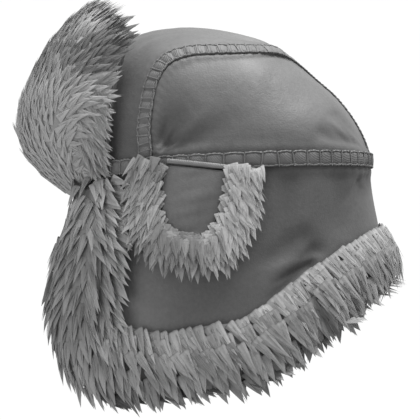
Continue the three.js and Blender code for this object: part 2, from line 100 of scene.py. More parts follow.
# Raised front flap
FLAP_FOLD_TURN = 43
FLAP_TOP_TURN = 50
FLAP_MIDDLE_TOP = 113
FLAP_END_TOP = 76
FLAP_END_BOTTOM = -2
FLAP_WALL = 3
FLAP_STANDOFF = 3.5
FLAP_LEAN = 12
FLAP_FUR_DEPTH = 41
FLAP_END_LOCKS = 60
FLAP_TOP_LOCKS = 130

# Fur trim
TRIM_WIDTH = 40
TRIM_LAP = 5
TRIM_OUT = 12
TRIM_IN = 6
TRIM_START_SHARE = 0.17
BACKING_DEPTH = 0.85
BACKING_SHARE = 0.92
BACKING_THICK_SHARE = 0.68
EDGE_LEG_SHARE = 0.16

# Rows of long tufts along the trim's lap on the cloth: nearest and farthest place away from
# the cloth's edge, height over the cloth, lift of the tufts on the legs and on the hem
LAP_ROWS = [(-4.5, -3.5, 3.0, 0.3, 0.6), (0.5, 3, 6.0, 0.25, 0.45), (8, 10.5, 10.0, 0.2, 0.2)]

# Parts of each row, leg, hem and leg: first and last share of the trim's path, count of tufts
LAP_PARTS = [
    (0.002, EDGE_LEG_SHARE, 32),
    (0.9 * EDGE_LEG_SHARE, 1 - 0.9 * EDGE_LEG_SHARE, 92),
    (1 - EDGE_LEG_SHARE, 0.998, 32),
]

# Shares of the way round the trim's section where its other tufts start, on the legs and on
# the hem, and the way that the hem's tufts are combed
FILL_START = 0.1
HEM_FILL_SHARE = 0.27
FILL_HEM_FLOW = np.array([0, 0.6, -0.8])
LAP_HEM_FLOW = np.array([0, 0.62, -0.78])

# Locks of fur
LOCK_FLATNESS = 0.3
LOCK_BEND = -0.12
LOCK_CURL = 0.1
STRANDS = 2
STRAND_RADIUS = 0.26

# Section of a lock, a flat tuft with low ridges: sideways and outward as shares of its half
# width
LOCK_SECTION = [(-1, 0), (-0.5, 0.4), (-0.05, 0.3), (0.35, 0.48), (1, 0), (0, -0.3)]

# Levels along a lock: share of its length, of its half width and of its lightness; the dark first level is
# painted shade at the root
LOCK_LEVELS = [(-0.1, 0.9, 0.1), (-0.03, 1.0, 1.0), (0.3, 0.72, 1.0), (0.68, 0.34, 1.0)]

# Levels along a loose strand: share of its length, closeness to the tuft, thickness
STRAND_LEVELS = [(0.05, 0.0, 1.0), (0.55, 0.3, 0.8)]

# Groups of locks: stray from their flow, then ranges of length, width and change of tone.
# FLAP_DRAW and TRIM_DRAW hold shares of a length and width that vary over the fur
FLAP_DRAW = (0.14, (0.8, 1.15), (0.85, 1.2), (-0.12, 0.12))
FLAP_END_DRAW = (0.12, (13, 19), (2.2, 3.2), (-0.14, 0.14))
FLAP_TOP_DRAW = (0.16, (11, 16), (2.4, 3.4), (-0.15, 0.12))
TRIM_DRAW = (0.13, (0.85, 1.2), (0.8, 1.2), (-0.2, 0.2))
LAP_DRAW = (0.1, (16, 23), (3.4, 4.6), (-0.24, 0.24))
PATCH_DRAW = (0.15, (9, 13.5), (2.4, 4.0), (-0.25, 0.25))

# Rows of locks over a surface and the spacing in each
FLAP_SPREAD = (30, 5.1)
TRIM_SPREAD = (12, 6.6)
PATCH_SPREAD = (9, 4.6)

# Lightness of the fur's backings, kept dim as painted shade between the locks, and of the cloth that has one
# even shade
FLAP_UNDER = 0.5
TRIM_UNDER = 0.28
PATCH_UNDER = 0.3
FLAP_CLOTH_SHADE = 0.23
PATCH_CLOTH_SHADE = 0.5

# Darkest and lightest share of a material's tone, the range over which the stored shade, with its painted
# light and shade, runs
CLOTH_DARK = 0.65
CLOTH_LIGHT = 2.05
FUR_DARK = 0.5
FUR_LIGHT = 1.5

# Ear patches
PATCH_CENTRE_Y = -22
PATCH_TOP_DROP = 4
PATCH_TILT = 9
PATCH_HALF_WIDTH = 19
PATCH_HEIGHT = 42
PATCH_DOME = 2
PATCH_ROUND = 0.7
PATCH_FUR_WIDTH = 19
PATCH_FUR_DEPTH = 9
PATCH_STEP = 0.01
PATCH_FUR_SECTION = [(-1, 0), (1, 0), (1, 0.5), (0.5, 0.8), (-0.5, 0.8), (-1, 0.5)]
BINDING_WIDTH = 3
BINDING_WALL = 2.6

CLOTH_BELOW_TAPE = 2 * PIECE_GAP
OVER_TAPE = CLOTH_BELOW_TAPE + TAPE_WALL + 2 * PIECE_GAP

# Camera and studio: metres and watts, the focal length and the photo's width in pixels
CAMERA_PLACE = (0.5, -0.015, -0.031)
SENSOR_WIDTH = 36
FOCAL_LENGTH = 660
PHOTO_WIDTH = 420
FLOOR_HEIGHT = -0.45
FLOOR_HALF = 0.75
BACKDROP_HALF = 4
WORLD_STRENGTH = 0.42
KEY_PLACE = (0.22, 0.38, 1.3)
KEY_SIZE = 0.9
KEY_WATTS = 36
FILL_PLACE = (0.6, -0.7, -0.35)
FILL_SIZE = 0.8
FILL_WATTS = 2.8

# Crown midline from brow to nape: share of the half width at which the long seam runs,
# share of the half length, share of the crown height
CROWN_STATIONS = [
    (0.88, -1.0, 0.0),
    (0.88, -1.0, 0.17),
    (0.865, -0.97, 0.38),
    (0.845, -0.89, 0.6),
    (0.815, -0.77, 0.825),
    (0.785, -0.61, 0.96),
    (0.755, -0.39, 0.995),
    (0.73, -0.14, 0.98),
    (0.69, 0.06, 0.945),
    (0.6, 0.24, 0.885),
    (0.34, 0.39, 0.772),
    (0.15, 0.565, 0.625),
    (0.105, 0.725, 0.485),
    (0.1, 0.83, 0.345),
    (0.1, 0.905, 0.19),
    (0.1, 1 - NAPE_TUCK / HALF_LENGTH, 0.0),
]

# Folds on the sides, from one point to another: y as a share of the half length, z of the
# crown height above the seam and of the ear drop below it, then depth and width as shares
FOLDS = [
    (-0.42, 0.07, -0.26, 0.3, 1.0, 0.9),
    (-0.36, 0.08, -0.02, 0.25, 0.9, 0.9),
    (0.66, 0.3, 0.88, 0.1, 0.7, 0.6),
    (0.55, 0.16, 0.84, 0.06, 0.6, 0.6),
    (0.92, -0.1, 0.78, -0.22, 0.7, 0.5),
    (0.47, -0.5, 0.22, -0.72, 1.0, 0.6),
    (0.4, -0.42, 0.1, -0.6, 0.8, 0.8),
    (0.68, -0.14, 0.66, -0.44, 0.7, 1.2),
]

# Sharper creases in the same columns; a negative depth is a ridge
CREASES = [
    (-0.47, 0.03, -0.2, 0.26, -0.7, 0.5),
    (-0.5, 0.12, -0.3, 0.36, 0.5, 0.6),
    (-0.46, 0.04, -0.36, 0.2, 0.7, 0.16),
    (-0.46, 0.05, -0.34, 0.15, 0.6, 0.15),
    (-0.47, 0.04, -0.32, 0.1, 0.6, 0.15),
    (-0.47, 0.06, -0.4, 0.26, 0.6, 0.2),
    (-0.46, 0.07, -0.38, 0.2, -0.45, 0.16),
    (-0.45, 0.05, -0.32, 0.12, -0.45, 0.16),
    (0.84, 0.05, 0.56, 0.24, 0.5, 0.35),
    (0.85, 0.07, 0.62, 0.3, 0.35, 0.25),
    (0.84, 0.1, 0.6, 0.34, -0.25, 0.3),
    (0.84, -0.12, 0.7, -0.24, 0.6, 0.3),
    (0.85, -0.16, 0.74, -0.3, 0.4, 0.3),
    (0.46, -0.58, 0.18, -0.76, 0.55, 0.3),
    (0.46, -0.56, 0.22, -0.67, 0.55, 0.25),
    (0.46, -0.6, 0.3, -0.82, 0.4, 0.3),
    (0.46, -0.55, 0.14, -0.6, -0.3, 0.4),
    (0.34, -0.12, 0.27, -0.5, 0.4, 0.8),
    (0.22, -0.12, 0.16, -0.44, -0.3, 0.7),
]

# Long creases of the centre panel: share of the way from its middle to its seam, depth, width
CENTRE_CREASES = [
    (0.12, 1.6, 0.1),
    (0.33, 2.2, 0.09),
    (0.55, 2.0, 0.1),
    (0.78, 1.5, 0.09),
]
CREASE_MEET = 0.64
CREASE_KNOT = 0.62

# Front edge of each ear flap: share of the ear drop, turn in degrees from the brow
FRONT_EDGE = [
    (0.0, 43),
    (0.14, 43.5),
    (0.3, 49),
    (0.46, 54),
    (0.6, 53),
    (0.8, 51.5),
    (1.0, 51),
]

# Lower edge of the skirt: turn in degrees from the brow, share of the ear drop
HEM = [
    (43, 0.87),
    (47, 0.915),
    (54, 0.955),
    (64, 0.98),
    (78, 0.985),
    (90, 0.93),
    (100, 0.82),
    (111, 0.68),
    (126, 0.54),
    (144, 0.445),
    (162, 0.42),
    (180, 0.415),
]

# Front flap fur: share of the way up, share of the fur depth
FLAP_FUR_PROFILE = [
    (0.0, 0.14),
    (0.1, 0.58),
    (0.2, 0.86),
    (0.33, 1.0),
    (0.5, 0.98),
    (0.66, 0.9),
    (0.8, 0.76),
    (0.92, 0.5),
    (1.0, 0.2),
]

# Section of the fur trim: share of the width away from the cloth, share of the thickness
TRIM_SECTION = [
    (0.25, 1.0),
    (0.68, 0.92),
    (0.96, 0.3),
    (0.9, -0.7),
    (0.4, -1.0),
]


def power(value, exponent):
    return np.sign(value) * np.abs(value) ** exponent


def mix(low, high, share):
    return low + (high - low) * share


def ease(x):
    x = np.clip(x, 0, 1)
    return x * x * (3 - 2 * x)


def hump(x, centre, width):
    return np.exp(-(((x - centre) / width) ** 2))


def unit(vectors):
    return vectors / np.maximum(np.linalg.norm(vectors, axis=-1, keepdims=True), 1e-9)


def stack(*parts):
    return np.stack(np.broadcast_arrays(*parts), axis=-1)


def read(rows, at):
    keys, values = zip(*rows)
    return np.interp(at, keys, values)


# Smooth line through the crown stations, as seam, along and up shares
def crown_line(t):
    points = np.array(CROWN_STATIONS)
    before = 2 * points[:1] - points[1:2]
    after = 2 * points[-1:] - points[-2:-1]
    chain = np.vstack([before, points, after])
    place = np.clip(t, 0, 1) * (len(points) - 1)
    index = np.minimum(np.floor(place).astype(int), len(points) - 2)
    w = (place - index)[..., None]
    p0, p1, p2, p3 = (chain[index + k] for k in range(4))
    d0, d1, d2 = (
        np.sqrt(np.linalg.norm(b - a, axis=-1, keepdims=True)) for a, b in ((p0, p1), (p1, p2), (p2, p3))
    )
    leave = ((p1 - p0) / d0 - (p2 - p0) / (d0 + d1) + (p2 - p1) / d1) * d1
    arrive = ((p2 - p1) / d1 - (p3 - p1) / (d1 + d2) + (p3 - p2) / d2) * d1
    square = -3 * p1 + 3 * p2 - 2 * leave - arrive
    cube = 2 * p1 - 2 * p2 + leave + arrive
    line = p1 + w * (leave + w * (square + w * cube))
    return line[..., 0], line[..., 1], line[..., 2]


def seam_lean(t, shift=0.0):
    share = crown_line(t)[0] + shift / HALF_WIDTH
    return np.degrees(np.arcsin(share ** (1 / PLAIN_ROUND)))


def seam_climb(y, height):
    return SEAM_RISE * (y / HALF_LENGTH) * ease(1 - height / SEAM_FADE)


# Depth of the folds and creases at a place on the side of the hat
def fold_depth(y, z):
    height = np.where(z > 0, CROWN_HEIGHT, EAR_DROP)
    depth = np.zeros(np.broadcast(y, z).shape)
    for from_y, from_z, to_y, to_z, deep, wide in FOLDS + CREASES:
        start_y = from_y * HALF_LENGTH
        start_z = from_z * height
        run_y = (to_y - from_y) * HALF_LENGTH
        run_z = (to_z - from_z) * height
        share = ((y - start_y) * run_y + (z - start_z) * run_z) / (run_y**2 + run_z**2)
        share = np.clip(share, 0, 1)
        distance = np.hypot(y - start_y - share * run_y, z - start_z - share * run_z)
        depth += deep * FOLD_DEPTH * (1 - 0.8 * share**2) * hump(distance, 0, wide * FOLD_WIDTH)
    return depth


# Soft waves of cloth: a seeded sum of sines over the points of a surface
def ripple(points, seed, height, shortest, longest):
    rng = np.random.default_rng(seed)
    total = np.zeros(points.shape[:-1])
    for _ in range(WAVE_COUNT):
        way = unit(rng.normal(size=3))
        length = rng.uniform(shortest, longest)
        total += np.sin(points @ way * 2 * math.pi / length + rng.uniform(0, 2 * math.pi))
    return height * total / math.sqrt(WAVE_COUNT)


# Cloth pillows up beside a seam and is pinched where each rung of thread crosses it
def seam_relief(away, along, pitch, full=1.0):
    pillow = full * PILLOW_HEIGHT * hump(away, PILLOW_PLACE, PILLOW_WIDTH)
    near = np.exp(-np.maximum(away - TAPE_WIDTH / 2, 0) / PINCH_REACH) * ease(away / TAPE_WIDTH)
    return pillow - PINCH_DEPTH * near * (0.5 + 0.5 * np.cos(2 * math.pi * along / pitch))


def band_along(x, y):
    return np.arctan2(x / HALF_WIDTH, -y / HALF_LENGTH) * (HALF_WIDTH + HALF_LENGTH) / 2


# 1 on the crown behind the raised front flap, and 0 under it
def clear_of_flap(y):
    return ease((y + 0.72 * HALF_LENGTH) / (0.18 * HALF_LENGTH))


# Depth of the centre panel's long creases, which run from the brow and meet high on the back
def centre_creases(t, across):
    depth = np.zeros(np.broadcast(t, across).shape)
    gather = 1 - 0.85 * ease((t - 0.2) / (CREASE_MEET - 0.2))
    fade = ease(t / 0.2) * (1 - ease((t - CREASE_MEET - 0.04) / 0.08))
    for place, deep, wide in CENTRE_CREASES:
        middle = CREASE_KNOT + (place - CREASE_KNOT) * gather
        depth += deep * hump(np.abs(across), middle, wide * (0.3 + 0.7 * gather)) * fade
    return depth


# Point on the crown: t from brow to nape, lean from the right side (-90) to the left (90).
# With a seed it has the small relief of worn cloth
def crown_point(t, lean, lift, seed=None):
    _, along, up = crown_line(t)
    across = power(np.sin(np.radians(lean)), PLAIN_ROUND)
    inside = power(np.maximum(np.cos(np.radians(lean)), 0), PLAIN_ROUND)
    rise = up * inside
    y = along * HALF_LENGTH * inside
    height = rise * CROWN_HEIGHT
    from_seam = np.radians(np.abs(lean) - seam_lean(t)) * HALF_LENGTH
    flank = ease((from_seam - TAPE_WIDTH / 2) / TAPE_WIDTH)
    clear = ease((height - TAPE_WIDTH / 2) / TAPE_WIDTH)
    reach = lift - fold_depth(y, height) * flank * clear
    if seed is not None:
        relief = seam_relief(np.abs(from_seam), t * CROWN_LINE_LENGTH, CROWN_PITCH)
        beside_band = seam_relief(height, band_along(HALF_WIDTH * across, y), BAND_PITCH, 0.45)
        relief = relief + beside_band * ease(height / 3)
        relief = relief - centre_creases(t, lean / seam_lean(t)) * clear
        place = stack(HALF_WIDTH * across, y, height)
        away = ease((np.abs(from_seam) - 3) / 12) * clear
        relief = relief + ripple(place, seed, *CROWN_WAVES) * away
        relief = relief + ripple(place, seed + 7, *FINE_WAVES) * away
        reach = reach + relief * clear_of_flap(y)
    return stack(
        (HALF_WIDTH + reach) * across,
        along * (HALF_LENGTH + reach) * inside,
        rise * (CROWN_HEIGHT + reach) + PIECE_GAP / 2 + seam_climb(y, height),
    )


def front_round(drop):
    return mix(PLAIN_ROUND, FLAP_ROUND, ease((drop - SQUARE_START) / (SQUARE_DROP - SQUARE_START)))


# Share of the skirt that no ear patch covers
def clear_of_patch(y, drop):
    half = PATCH_HALF_WIDTH + PATCH_FUR_WIDTH
    beside = ease((np.abs(y - PATCH_CENTRE_Y) - half) / 9)
    below = ease((drop - PATCH_HEIGHT - PATCH_FUR_WIDTH) / 9)
    return np.maximum(beside, below)


# Point on the skirt at a turn in degrees from the brow and a drop below the seam
def skirt_point(turn, drop, lift, seed=None):
    sine = np.sin(np.radians(turn))
    cosine = np.cos(np.radians(turn))
    front = cosine > 0
    bend = np.where(front, front_round(drop), PLAIN_ROUND)
    flare = np.where(front, 0, mix(-NAPE_TUCK, NAPE_FLARE, ease(drop / SQUARE_DROP)))
    y = -HALF_LENGTH * power(cosine, bend)
    flank = ease((np.abs(sine) - 0.2) / 0.3) * ease((drop - TAPE_WIDTH / 2) / TAPE_WIDTH)
    reach = lift - fold_depth(y, -drop) * flank
    if seed is not None:
        x = HALF_WIDTH * power(sine, bend)
        place = stack(x, y, -drop)
        relief = seam_relief(drop, band_along(x, y), BAND_PITCH, 0.7) * ease(drop / 3)
        relief = relief * clear_of_patch(y, drop)
        away = ease((drop - TAPE_WIDTH / 2) / 14)
        relief = relief + ripple(place, seed, *SKIRT_WAVES) * away
        relief = relief + ripple(place, seed + 7, *FINE_WAVES) * away
        reach = reach + relief
    return stack(
        (HALF_WIDTH + SIDE_FLARE * ease(drop / EAR_DROP) + reach) * power(sine, bend),
        -(HALF_LENGTH + flare + reach) * power(cosine, bend),
        -drop - PIECE_GAP / 2 + seam_climb(y, drop),
    )


# The skirt's cloth between its front edges: u runs round the back, v from the seam to the hem
def skirt_turn_and_drop(u, v):
    first = FRONT_EDGE[0][1]
    turn = mix(first, 360 - first, u)
    from_brow = np.minimum(turn, 360 - turn)
    drop = read(HEM, from_brow) * EAR_DROP * v
    pull = read(FRONT_EDGE, drop / EAR_DROP) - first
    fade = 1 - ease((from_brow - first) / (90 - first))
    return turn + np.sign(180 - turn) * pull * fade, drop


# Share of a path between a place on it and its nearer end
def from_end(s):
    return np.minimum(s, 1 - s)


# Path of the skirt's free edge, from the left ear flap's front edge round the neck to the right
def edge_point(s, lift, shift):
    left = s < 0.5
    on_leg = from_end(s) < EDGE_LEG_SHARE
    leg_v = mix(TRIM_START_SHARE, 1, np.minimum(from_end(s) / EDGE_LEG_SHARE, 1))
    along = 0.5 * np.maximum(from_end(s) - EDGE_LEG_SHARE, 0) / (0.5 - EDGE_LEG_SHARE)
    u = np.where(on_leg, 0.0, along)
    v = np.where(on_leg, leg_v, 1.0)
    turn, drop = skirt_turn_and_drop(np.where(left, u, 1 - u), v)
    turn = turn + np.where(on_leg, shift, 0)
    drop = drop + np.where(on_leg, 0, shift)
    return skirt_point(turn, drop, lift)


def fold_height(share):
    return mix(-BROW_DROP, FLAP_END_BOTTOM, np.abs(share) ** 4)


# Raised front flap: across from its right end (-1) to its left (1), rise from fold to top
def flap_point(across, rise, lift):
    top = mix(FLAP_END_TOP, FLAP_MIDDLE_TOP, np.sqrt(np.maximum(1 - np.abs(across) ** 2.5, 0)))
    z = mix(fold_height(across), top, rise)
    turn = np.radians(across * mix(FLAP_FOLD_TURN, FLAP_TOP_TURN, rise))
    lean = FLAP_LEAN * ease((z / FLAP_MIDDLE_TOP - 0.3) / 0.7)
    return stack(
        (HALF_WIDTH + lift - lean) * power(np.sin(turn), PLAIN_ROUND),
        -(HALF_LENGTH + lift - lean) * power(np.cos(turn), PLAIN_ROUND),
        z,
    )


# Point on the ear patch: a runs back and b down from the middle of its upper edge
def patch_point(side, a, b, lift):
    tilt = math.radians(PATCH_TILT)
    y = PATCH_CENTRE_Y + a * math.cos(tilt) - b * math.sin(tilt)
    drop = PATCH_TOP_DROP + a * math.sin(tilt) + b * math.cos(tilt)
    bend = np.where(y < 0, front_round(drop), PLAIN_ROUND)
    turn = np.degrees(np.arccos(-power(y / HALF_LENGTH, 1 / bend)))
    point = skirt_point(turn, np.maximum(drop, 0), lift)
    point[..., 0] *= side
    point[..., 2] += np.maximum(-drop, 0)
    return point


# Path round the U of fur on an ear patch, through the middle of the fur
def patch_path(side):
    width = PATCH_HALF_WIDTH + 2 * PIECE_GAP + PATCH_FUR_WIDTH / 2
    height = PATCH_HEIGHT + 2 * PIECE_GAP + PATCH_FUR_WIDTH / 2

    def path(s, lift, shift):
        q = math.pi * s
        a = -(width + shift) * power(np.cos(q), PATCH_ROUND)
        b = (height + shift) * power(np.sin(q), PATCH_ROUND)
        return patch_point(side, a, b, lift + OVER_TAPE)

    return path


# Place, tangent, sideways and outward directions along a path on a surface
def frames_at(path, s, step=0.002):
    at = path(s, 0, 0)
    tangent = unit(path(np.minimum(s + step, 1), 0, 0) - path(np.maximum(s - step, 0), 0, 0))
    across = path(s, 0, 0.5) - path(s, 0, -0.5)
    out = unit(np.cross(tangent, across))
    toward = np.sum(out * (path(s, 1, 0) - at), axis=-1, keepdims=True)
    out = out * np.where(toward < 0, -1, 1)
    side = unit(np.cross(tangent, out))
    return at, tangent, side, out


def signed_volume(points, faces):
    a = points[faces[:, 0]]
    total = 0.0
    for k in range(1, faces.shape[1] - 1):
        total += np.sum(a * np.cross(points[faces[:, k]], points[faces[:, k + 1]]))
    return total


# New object from points in millimetres and lists of faces; values hold one shade per point
def add_piece(name, points, face_lists, material, slot, replaces=None, shade=None, smooth=True):
    if sum(signed_volume(points, faces) for faces in face_lists) < 0:
        face_lists = [faces[:, ::-1] for faces in face_lists]
    mesh = bpy.data.meshes.new(name)
    mesh.vertices.add(len(points))
    mesh.vertices.foreach_set("co", (points * MM).astype(np.float32).ravel())
    corners = np.concatenate([faces.ravel() for faces in face_lists]).astype(np.int32)
    sizes = np.concatenate([np.full(len(faces), faces.shape[1]) for faces in face_lists])
    starts = np.concatenate([[0], np.cumsum(sizes)[:-1]]).astype(np.int32)
    mesh.loops.add(len(corners))
    mesh.loops.foreach_set("vertex_index", corners)
    mesh.polygons.add(len(sizes))
    mesh.polygons.foreach_set("loop_start", starts)
    mesh.polygons.foreach_set("use_smooth", np.full(len(sizes), smooth))
    mesh.update(calc_edges=True)
    mesh.validate()
    if shade is not None:
        layer = mesh.attributes.new("shade", "FLOAT", "POINT")
        layer.data.foreach_set("value", shade.astype(np.float32).ravel())
    mesh.materials.append(material)
    piece = bpy.data.objects.new(name, mesh)
    bpy.context.scene.collection.objects.link(piece)
    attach(piece, "root")
    if replaces:
        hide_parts(replaces)


def cells(ids):
    return np.stack([ids[:-1, :-1], ids[1:, :-1], ids[1:, 1:], ids[:-1, 1:]], axis=-1).reshape(-1, 4)


# Closed wall between two surfaces of (u, v)
def wall(u_steps, v_steps, outer, inner):
    u, v = np.meshgrid(np.linspace(0, 1, u_steps + 1), np.linspace(0, 1, v_steps + 1), indexing="ij")
    ids = np.arange(u.size).reshape(u.shape)
    rim = np.concatenate([ids[0], ids[1:, -1], ids[-1, -2::-1], ids[-2::-1, 0]])
    edge = np.stack([rim[:-1], rim[1:], rim[1:] + u.size, rim[:-1] + u.size], axis=-1)
    points = np.concatenate([outer(u, v).reshape(-1, 3), inner(u, v).reshape(-1, 3)])
    faces = np.concatenate([cells(ids)[:, ::-1], cells(ids) + u.size, edge])
    return points, [faces]


# Closed strip or tube: sections has one loop of (side, out) corners for each frame
def sweep(frames, sections, ring=False):
    at, _, side, out = frames
    rings = at[:, None] + side[:, None] * sections[..., :1] + out[:, None] * sections[..., 1:]
    count, corners = sections.shape[:2]
    ids = np.arange(count * corners).reshape(count, corners)
    ids = np.concatenate([ids, ids[:, :1]], axis=1)
    if ring:
        ids = np.concatenate([ids, ids[:1]])
        return rings.reshape(-1, 3), [cells(ids)]
    caps = np.stack([ids[0, :-1][::-1], ids[-1, :-1]])
    return rings.reshape(-1, 3), [cells(ids), caps]


def repeat_section(section, count):
    return np.repeat(np.array(section, dtype=float)[None], count, axis=0)


# Two-strand twisted thread: a tube with two lobes that turn along the path
def twisted_sections(distance, shift, lift):
    angle = np.linspace(0, 2 * math.pi, THREAD_SIDES, endpoint=False)[None]
    twist = math.pi * distance[:, None] / EDGE_TWIST
    lobes = EDGE_THREAD * (0.82 + 0.25 * np.cos(2 * (angle - twist)))
    return np.stack([shift[:, None] + lobes * np.cos(angle), lift + lobes * np.sin(angle)], axis=-1)


def path_lengths(points):
    steps = np.linalg.norm(np.diff(points, axis=0), axis=-1)
    return np.concatenate([[0], np.cumsum(steps)])


def join(parts):
    points = []
    faces = {}
    start = 0
    for part_points, part_faces in parts:
        points.append(part_points)
        for group in part_faces:
            faces.setdefault(group.shape[1], []).append(group + start)
        start += len(part_points)
    return np.concatenate(points), [np.concatenate(group) for group in faces.values()]


# Places spread evenly over a surface of (u, v) in rows of v, apart from a seeded shift of each
def spread(skin, rows, spacing, rng, shift=0.4):
    fine = np.linspace(0.001, 0.999, 1500)
    column = path_lengths(skin(0.5 + 0 * fine, fine))
    us = []
    vs = []
    for row in range(rows):
        middle = np.interp((row + 0.5) / rows * column[-1], column, fine)
        length = path_lengths(skin(fine, middle + 0 * fine))
        count = max(round(length[-1] / spacing), 2)
        share = (np.arange(count) + 0.5 * (row % 2) + 0.25 + rng.uniform(-shift, shift, count)) / count
        us.append(np.interp(np.clip(share, 0, 1) * length[-1], length, fine))
        lift = (row + 0.5 + rng.uniform(-shift, shift, count)) / rows
        vs.append(np.interp(np.clip(lift, 0, 1) * column[-1], column, fine))
    return np.concatenate(us), np.concatenate(vs)


# Outward direction of a surface of (u, v), on the side that away points to
def outward(skin, u, v, away, step=0.004):
    along = skin(np.minimum(u + step, 1), v) - skin(np.maximum(u - step, 0), v)
    across = skin(u, np.minimum(v + step, 1)) - skin(u, np.maximum(v - step, 0))
    normal = unit(np.cross(along, across))
    return normal * np.sign(np.mean(np.sum(normal * away, axis=-1)))


# Direction of a lock combed along flow on a surface and lifted off it a little
def combed(flow, normal, lift):
    flat = flow - normal * np.sum(flow * normal, axis=-1, keepdims=True)
    return unit(unit(flat) + lift * normal)


# Tape puffed into a cell between each two rungs
def puffed_tape(frames, cell, ring):
    across = np.linspace(-1, 1, 13)[None]
    low = CLOTH_BELOW_TAPE + 0 * across
    puff = CELL_PUFF * (1 - across**2) ** 0.6 * (np.abs(np.sin(math.pi * cell)) ** 0.7)[:, None]
    high = low + TAPE_WALL * (0.55 + 0.45 * (1 - across**6)) + puff
    side = np.repeat(across * TAPE_WIDTH / 2, len(cell), axis=0)
    top = np.stack([side, high], axis=-1)[:, ::-1]
    foot = np.stack([side, np.repeat(low, len(cell), axis=0)], axis=-1)[:, [0, -1]]
    return sweep(frames, np.concatenate([foot, top], axis=1), ring)


# Tape and its threads: one along each edge, drawn in at the rungs, and the rungs
def taped_seam(path, steps, pitch, seed, ring=False):
    rng = np.random.default_rng(seed)
    stations = np.linspace(0, 1, steps + 1)
    length = path_lengths(path(stations, 0, 0))
    count = round(length[-1] / pitch)
    places = np.arange(1, count) * pitch / length[-1]
    cell = length / pitch
    if ring:
        places = np.arange(count) / count
        stations = stations[:-1]
        length = length[:-1]
        cell = stations * count
    frames = frames_at(path, stations)
    tape = puffed_tape(frames, cell, ring)
    high = CLOTH_BELOW_TAPE + TAPE_WALL
    threads = []
    for sign in (-1, 1):
        shift = sign * (TAPE_WIDTH / 2 - EDGE_WAVE * (1 - np.abs(np.sin(math.pi * cell))))
        threads.append(sweep(frames, twisted_sections(length * sign, shift, high + 0.1), ring))
    reach = np.linspace(-1, 1, RUNG_STEPS)[:, None]
    arch = high + RUNG_LIFT + RUNG_ARCH * (1 - reach**2)
    angle = np.linspace(0, 2 * math.pi, RUNG_SIDES, endpoint=False)
    circle = repeat_section(RUNG_THREAD * stack(np.cos(angle), np.sin(angle)), RUNG_STEPS)
    for at, tangent, side, out in zip(*frames_at(path, places)):
        lean = rng.uniform(-RUNG_LEAN, RUNG_LEAN)
        middle = at + side * reach * (TAPE_WIDTH / 2 + EDGE_THREAD / 2)
        middle = middle + tangent * reach * lean * TAPE_WIDTH + out * arch
        threads.append(sweep((middle, None, tangent[None], out[None]), circle))
    return tape, join(threads)


# Locks of fur: flat pointed tufts, each with loose strands over it. normal is the outward
# direction of the fur under each lock, tone its lightness from 0 to 1
def fur_locks(seed, root, way, normal, length, width, tone):
    rng = np.random.default_rng(seed)
    side = unit(np.cross(way, normal))
    out = unit(np.cross(side, way))
    bend = LOCK_BEND * out + LOCK_CURL * side * rng.uniform(-1, 1, (len(root), 1))
    lock = (root, way, side, out, bend, length, width, tone)
    body = tufts(*lock)
    loose = loose_strands(rng, *lock)
    points, faces = join([body[:2], loose[:2]])
    return points, faces, np.concatenate([body[2], loose[2]])


def tufts(root, way, side, out, bend, length, width, tone):
    section = np.array(LOCK_SECTION)
    corners = len(section)
    rings = []
    shades = []
    for level, wide, light in LOCK_LEVELS:
        reach = length[:, None] * level
        centre = root + way * reach + bend * reach * max(level, 0)
        half = (width * wide)[:, None, None]
        flat = half * section[None, :, :1] * side[:, None]
        thick = LOCK_FLATNESS * half * section[None, :, 1:] * out[:, None]
        rings.append(centre[:, None] + flat + thick)
        # Painted shade darkens each lock's root ring; the tone rises along the lock
        shades.append(np.repeat(light * (tone[:, None] - 0.1 + 0.13 * level), corners, axis=1))
    tip = root + (way + bend) * length[:, None]
    points = np.concatenate(rings + [tip[:, None]], axis=1)
    shade = np.concatenate(shades + [tone[:, None] + 0.06], axis=1)
    base = (np.arange(len(root)) * points.shape[1])[:, None]
    here = np.arange(corners)
    after = (here + 1) % corners
    quads = []
    for row in range(len(LOCK_LEVELS) - 1):
        low = row * corners
        ring = stack(low + here, low + after, low + corners + after, low + corners + here)
        quads.append((base[:, None] + ring[None]).reshape(-1, 4))
    last = (len(LOCK_LEVELS) - 1) * corners
    tips = stack(last + here, last + after, last + corners)
    faces = [np.concatenate(quads), (base[:, None] + tips[None]).reshape(-1, 3), base + here[::-1][None]]
    return points.reshape(-1, 3), faces, shade.reshape(-1)


# Thin three-sided strands of hair that lie on a tuft and part from it towards its tip
def loose_strands(rng, root, way, side, out, bend, length, width, tone):
    count = len(root)
    shape = (count, STRANDS, 1)
    offset = width[:, None, None] * rng.uniform(-0.8, 0.8, shape) * side[:, None]
    offset = offset + width[:, None, None] * rng.uniform(0.1, 0.35, shape) * out[:, None]
    reach = length[:, None, None] * rng.uniform(0.75, 1.05, shape)
    stray = rng.normal(0, 0.04, (count, STRANDS, 3)) * length[:, None, None]
    rings = []
    for level, close, thick in STRAND_LEVELS:
        centre = root[:, None] + way[:, None] * reach * level + bend[:, None] * reach * level**2
        centre = centre + offset * (1 - close) + stray * level**2
        for corner in range(3):
            angle = corner * 2 * math.pi / 3
            ring = math.cos(angle) * side[:, None] + math.sin(angle) * out[:, None]
            rings.append(centre + thick * STRAND_RADIUS * ring)
    tip = root[:, None] + (way + bend)[:, None] * reach + offset * 0.3 + stray
    points = np.stack(rings + [tip], axis=2)
    base = (np.arange(count * STRANDS) * 7)[:, None]
    quads = []
    ends = []
    for here in range(3):
        after = (here + 1) % 3
        quads.append(base + [here, after, 3 + after, 3 + here])
        ends.append(base + [3 + here, 3 + after, 6])
    ends.append(base + [2, 1, 0])
    along = np.array([0, 0, 0, 0.5, 0.5, 0.5, 1.0])[None, None]
    shade = tone[:, None, None] - 0.04 + 0.1 * along + 0.06 * rng.uniform(-1, 1, shape)
    return points.reshape(-1, 3), [np.concatenate(quads), np.concatenate(ends)], shade.reshape(-1)


